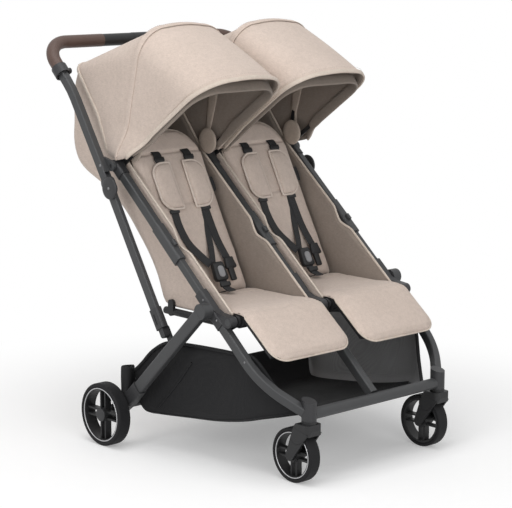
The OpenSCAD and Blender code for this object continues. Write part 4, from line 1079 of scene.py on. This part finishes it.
# %% Crotch straps and buckles
BUCKLE_H = 32
STUB = [(0, 22, BUCKLE_H), (0, 2, BUCKLE_H + 2), (2, -16, BUCKLE_H + 10), (2, -30, BUCKLE_H + 26)]
shells, buttons, stubs = [], [], []
for side, sign in SIDES:
    shells.append(turned(*moulding(0.0, 4.0, BUCKLE_H, 40, 50, 17, 9, 0.12), sign))
    buttons.append(turned(*moulding(0, 12, BUCKLE_H + 8, 19, 30, 6, 8.5), sign))
    stubs.append(turned(*strap(STUB, 25, 3.0), sign))
    shells.append(turned(*moulding(2, -13, BUCKLE_H + 9, 32, 12, 8, 3), sign))
dressed(put("buckle_shells", *joined(shells), [moulded]), "front_frame", "plastic", "crotch_buckles")
fitted("buckle_buttons", joined(buttons), 1, button_grey, "front_frame", "button")
fitted("crotch_straps", joined(stubs), 1, black_web, "front_frame", "dark_cloth")
print("buckles made")

# %% [markdown]
# ## Basket
# One wide bag hangs between the front bar and the rear feet. Its stations follow the photographed bag: each
# is a U with a soft corner, and the side walls are drawn in a little where the cloth is slack. It is black
# pack cloth outside, and its side walls are grey mesh inside.

# %% Basket
BASKET_STATIONS = [(-400, 195, 160, 165), (-350, 238, 147, 208), (-300, 274, 136, 286),
                   (-245, 282, 121, 290), (-157, 282, 104, 287), (-60, 282, 92, 281), (8, 283, 84, 273),
                   (56, 288, 80, 246), (84, 297, 82, 214), (100, 304, 108, 196), (109, 309, 170, 189)]
BASKET_FINE = smooth(BASKET_STATIONS, 5)
BASKET_CORNER = 26.0
BASKET_SLACK = 2.0
MESH_DEEP = 14
LOW_SEAM = 11


def drawn_in(y, z, low, high):
    """How far the side of the bag is drawn in at a point of the side view."""
    share = min(1, max(0, (z - low) / max(high - low, 1)))
    return BASKET_SLACK * (1 + math.sin(y / 34 + z / 40)) * math.sin(math.pi * share)


def basket_row(station):
    """One U of the bag: (station, half width, lowest and highest point)."""
    y, half, low, high = station
    c = min(BASKET_CORNER, (high - low) / 2)
    wall = [(half, z) for z in np.linspace(high, low + c, 9)[:-1]]
    turn = [(half - c + c * math.cos(a), low + c - c * math.sin(a)) for a in np.linspace(0, math.pi / 2, 7)]
    ground = [(x, low) for x in np.linspace(half - c, 0, 8)[1:]]
    line = wall + turn + ground
    line = line + [(-x, z) for x, z in reversed(line[:-1])]
    out = []
    for x, z in line:
        slack = drawn_in(y, z, low, high) * (abs(x) > half - 2)
        out.append((x - math.copysign(slack, x), y, z))
    return np.array(out) * MM


def wall_x(y, z):
    """Outer face of the bag's side at a point of the side view."""
    half, low, high = (np.interp(y, BASKET_FINE[:, 0], BASKET_FINE[:, k]) for k in (1, 2, 3))
    return half - drawn_in(y, z, low, high)


basket_rows = [basket_row(s) for s in BASKET_FINE]
cols = len(basket_rows[0])
points, faces = np.vstack(basket_rows), grid(len(basket_rows), cols)
faces = outward(points, faces, mm(0, -150, 250), mm(0, -150, 74))
basket_area = cloth_area(points, faces)
bag = put("basket_bag", points, faces, [black_cloth, grey_mesh, black_cloth, black_cloth])
middle_x = np.array([abs(np.asarray(points)[list(f), 0].mean()) for f in faces])
row_half = np.repeat([row[0][0] for row in basket_rows[:-1]], cols - 1)
ground = np.where(middle_x < row_half - MESH_DEEP * MM, 2, 0)
bag.data.polygons.foreach_set("material_index", ground.astype(np.int32))
bag = thicken(bag, CLOTH_THICK)
dressed(bag, "front_frame", "dark_cloth", "basket")
print("basket cut", round(basket_area, 3), "m2")

# %% [markdown]
# ## Basket binding and pockets
# Tape binds the bag's rim, its lower seam and the slanted seam of each side, and a pocket at each rear
# corner slips over the post of the rear foot. The tape is swept along the bag's own points. A pocket is a
# stack of rings with a web towards the bag, and it rides on the rear frame with its post. The faces at its
# two ends look into it.

# %% Basket binding and pockets
POST = (326.5, 113.0)
POCKET_RINGS = ((128, 13.6), (150, 14.2), (176, 14.6), (200, 14.0), (203.5, 12.6), (204.5, 9.0))
rim = np.array([row[0] for row in basket_rows])
low_edge = np.array([row[LOW_SEAM] for row in basket_rows])
slant = spaced([(-84, 240), (-40, 188), (40, 104)], 30)
seam_line = np.array([(wall_x(y, z) + 0.8, y, z) for y, z in slant]) * MM
tapes = []
for s in (1, -1):
    for path, r in ((rim, 0.009), (low_edge, 0.004), (seam_line, 0.005)):
        tapes.append(sweep(spaced(path * [s, 1, 1], 80), (1, 0, 0), section(r, r, 10, 2)))
fitted("basket_binding", joined(tapes), 1, black_cloth, "front_frame", "dark_cloth")
a = circle(40)
web = np.where(np.cos(a) < 0, 1.0 + 0.8 * np.clip(-np.cos(a), 0, 1) ** 6, 1.0)
rings = []
for z, grow in POCKET_RINGS:
    rings.append(np.column_stack([POST[0] + grow * web * np.cos(a), POST[1] + grow * np.sin(a),
                                  np.full(len(a), z)]))
points = np.vstack(rings) * MM
foot, top = range(len(a)), range(len(points) - len(a), len(points))
faces = grid(len(rings), len(a), True) + [tuple(foot), tuple(reversed(top))]
pockets = joined([turned(points, right_way(points, flipped(faces)), s) for s in (1, -1)])
fitted("basket_pockets", pockets, 1, black_cloth, "rear_frame", "dark_cloth")
print("basket bound")

# %% [markdown]
# ## Repeated small parts with Geometry Nodes
# Rivets and stitches repeat, so a node tree makes them: it takes points or a line, sets one small head on
# each point, and ends in Realize Instances and Set Material.

# %% Rivet and stitch trees
def on_points(tree):
    """Heads on the points themselves, each turned to its own axis."""
    axis = tree.node("GeometryNodeInputNamedAttribute", {"data_type": "FLOAT_VECTOR"}, {"Name": "axis"})
    return tree.given["Geometry"], axis


def along_line(tree):
    """Heads spread along a line, each turned to its tangent."""
    line = tree.node("GeometryNodeMeshToCurve", {}, {"Mesh": tree.given["Geometry"]})
    sockets = {"Curve": line, "Length": tree.given["Pitch"]}
    line = tree.node("GeometryNodeResampleCurve", {"mode": "LENGTH"}, sockets)
    return line, tree.node("GeometryNodeInputTangent")


def head_tree(name, floats, spread, axis, size, segments, rings):
    """A tree that sets a round head of three sizes on each point, makes it real and paints it."""
    group = bpy.data.node_groups.new(name, "GeometryNodeTree")
    group.interface.new_socket("Geometry", in_out="INPUT", socket_type="NodeSocketGeometry")
    for label in floats:
        group.interface.new_socket(label, in_out="INPUT", socket_type="NodeSocketFloat")
    group.interface.new_socket("Finish", in_out="INPUT", socket_type="NodeSocketMaterial")
    group.interface.new_socket("Geometry", in_out="OUTPUT", socket_type="NodeSocketGeometry")
    tree = Tree(group)
    entry = group.nodes.new("NodeGroupInput")
    tree.given = {s.name: Value(tree, s) for s in entry.outputs if s.name}
    points, way = spread(tree)
    sphere = {"Segments": segments, "Rings": rings, "Radius": 1.0}
    head = tree.node("GeometryNodeMeshUVSphere", {}, sphere)
    turn = tree.node("FunctionNodeAlignRotationToVector", {"axis": axis}, {"Vector": way})
    scale = tree.node("ShaderNodeCombineXYZ", {}, {k: tree.given[label] for k, label in enumerate(size)})
    sockets = {"Points": points, "Instance": head, "Rotation": turn, "Scale": scale}
    made = tree.node("GeometryNodeInstanceOnPoints", {}, sockets)
    whole = tree.node("GeometryNodeRealizeInstances", {}, {"Geometry": made})
    sockets = {"Geometry": whole, "Material": tree.given["Finish"]}
    tree.node("NodeGroupOutput", {}, {0: tree.node("GeometryNodeSetMaterial", {}, sockets)})
    return group


rivet_tree = head_tree("rivet_heads", ("Width", "Height"), on_points, "Z",
                       ("Width", "Width", "Height"), 16, 8)
stitch_tree = head_tree("stitch_line", ("Length", "Pitch", "Width"), along_line, "X",
                        ("Length", "Width", "Width"), 6, 4)
STITCH_PITCH = 6.0
STITCH_LENGTH = 3.6
STITCH_WIDTH = 0.9


def grown(made, tree, values, body, slot):
    """Run a node tree on a piece and keep the result as a plain mesh."""
    modifier = made.modifiers.new("grow", "NODES")
    modifier.node_group = tree
    for item in tree.interface.items_tree:
        if item.item_type == "SOCKET" and item.in_out == "INPUT" and item.name in values:
            modifier[item.identifier] = values[item.name]
    made.update_tag()
    settle(made)
    made.data.polygons.foreach_set("use_smooth", [True] * len(made.data.polygons))
    return dressed(made, body, slot)


def rivet_set(name, places, width, height, body):
    """Domed steel heads at (point, outward direction) pairs, in millimetres."""
    made = put(name, np.array([p for p, _ in places]) * MM, [], [steel_grey])
    attribute = made.data.attributes.new("axis", "FLOAT_VECTOR", "POINT")
    attribute.data.foreach_set("vector", np.array([d for _, d in places], np.float32).ravel())
    values = {"Width": width / 2 * MM, "Height": height * MM, "Finish": steel_grey}
    return grown(made, rivet_tree, values, body, "steel")


def stitches(name, lines, body):
    """Beads of thread along lines of points."""
    edges, base = [], 0
    for path in lines:
        edges += [(base + i, base + i + 1) for i in range(len(path) - 1)]
        base += len(path)
    mesh = bpy.data.meshes.new(name)
    mesh.from_pydata(np.vstack(lines).tolist(), edges, [])
    made = bpy.data.objects.new(name, mesh)
    mesh.materials.append(thread)
    scene.collection.objects.link(made)
    values = {"Length": STITCH_LENGTH / 2 * MM, "Pitch": STITCH_PITCH * MM, "Width": STITCH_WIDTH / 2 * MM,
              "Finish": thread}
    return grown(made, stitch_tree, values, body, "cloth")

# %% [markdown]
# ## Rivets and fold housings
# Steel rivets hold the tubes to their brackets, and a round housing covers each fold joint on the handle's
# arms. The places are measured along the sloping front tube, so they stay on its outer face.

# %% Rivets on the frame and the handle
FOLD_AT = (156.0, 644.5)
FOLD_R = 28.0
FOLD_X = 338.0
TUBE_RIVETS = ((-162, 4, 307.2), (-35, 5, 309.6), (28, 5, 309.6))
OUTWARDS = {s: (s, 0, 0) for s in (1, -1)}
frame_rivets = [((s * x, *on_tube(t, off)), way) for s, way in OUTWARDS.items() for t, off, x in TUBE_RIVETS]
rivet_set("frame_rivets", frame_rivets, 6.4, 1.6, "front_frame")
housings = joined([turned(*disc(FOLD_X, FOLD_AT, FOLD_R, 7.0), s) for s in OUTWARDS])
fitted("fold_housings", housings, 1, satin, "handle", "plastic")
arm_rivets = [((s * 335.2, 196, 697), way) for s, way in OUTWARDS.items()]
arm_rivets += [((s * 341.4, *FOLD_AT), way) for s, way in OUTWARDS.items()]
rivet_set("handle_rivets", arm_rivets, 8.0, 1.8, "handle")
print("rivets set")

# %% [markdown]
# ## Stitch lines
# The hood's seams are sewn through: two lines beside the middle bow and one behind the brim. Each line is a
# hood line a little off the cloth, so the stitches lie on it and turn with its bow.

# %% Stitch lines on the hoods
SEWN_OFF = 1.2
for side, sign in SIDES:
    for label, bow, angles, body in (("bow_stitches_", MID, (102.3, 105.7), "hood_"),
                                     ("brim_stitches_", BRIM, (BRIM[0] - 1.7,), "brim_")):
        lines = []
        for angle in angles:
            line = hood_line(angle, bow[1] + SEWN_OFF, bow[2] + SEWN_OFF, 40, -SEWN_OFF) * [sign, 1, 1]
            lines.append(spaced(line, 200))
        stitches(label + side, lines, body + side)
print("stitches sewn")

# %% [markdown]
# ## Wheel rings and hub caps
# Each wheel wears a thin bright ring round its rim, and the rear hubs have plain caps. Both are turned
# parts: a small section swept round a circle, and the disc of the hood tabs in hard plastic.

# %% Wheel rings and hub caps
REAR_HUB = (377.0, 156.0, 79.2)
FRONT_HUB = (235.2, -385.4, 65.6)


def ring(radius, wide, thick):
    a = circle(96)
    path = np.column_stack([np.zeros(len(a)), radius * np.cos(a), radius * np.sin(a)]) * MM
    return sweep(path, (1, 0, 0), section(wide * MM, thick * MM, 8, 2.4), True)


for side, sign in SIDES:
    for label, hub, radius, body in (("rear_wheel_ring_", REAR_HUB, 66.4, "rear_wheel_"),
                                     ("front_wheel_ring_", FRONT_HUB, 54.2, "front_wheel_")):
        points, faces = ring(radius, 2.6, 2.0)
        fitted(label + side, (points + mm(*hub), faces), sign, silver, body + side, "steel")
for side, sign in SIDES:
    cap = disc(REAR_HUB[0], REAR_HUB[1:], 17.0, 4.0)
    fitted("hub_cap_" + side, cap, sign, satin, "rear_wheel_" + side, "plastic")
print("rings set")
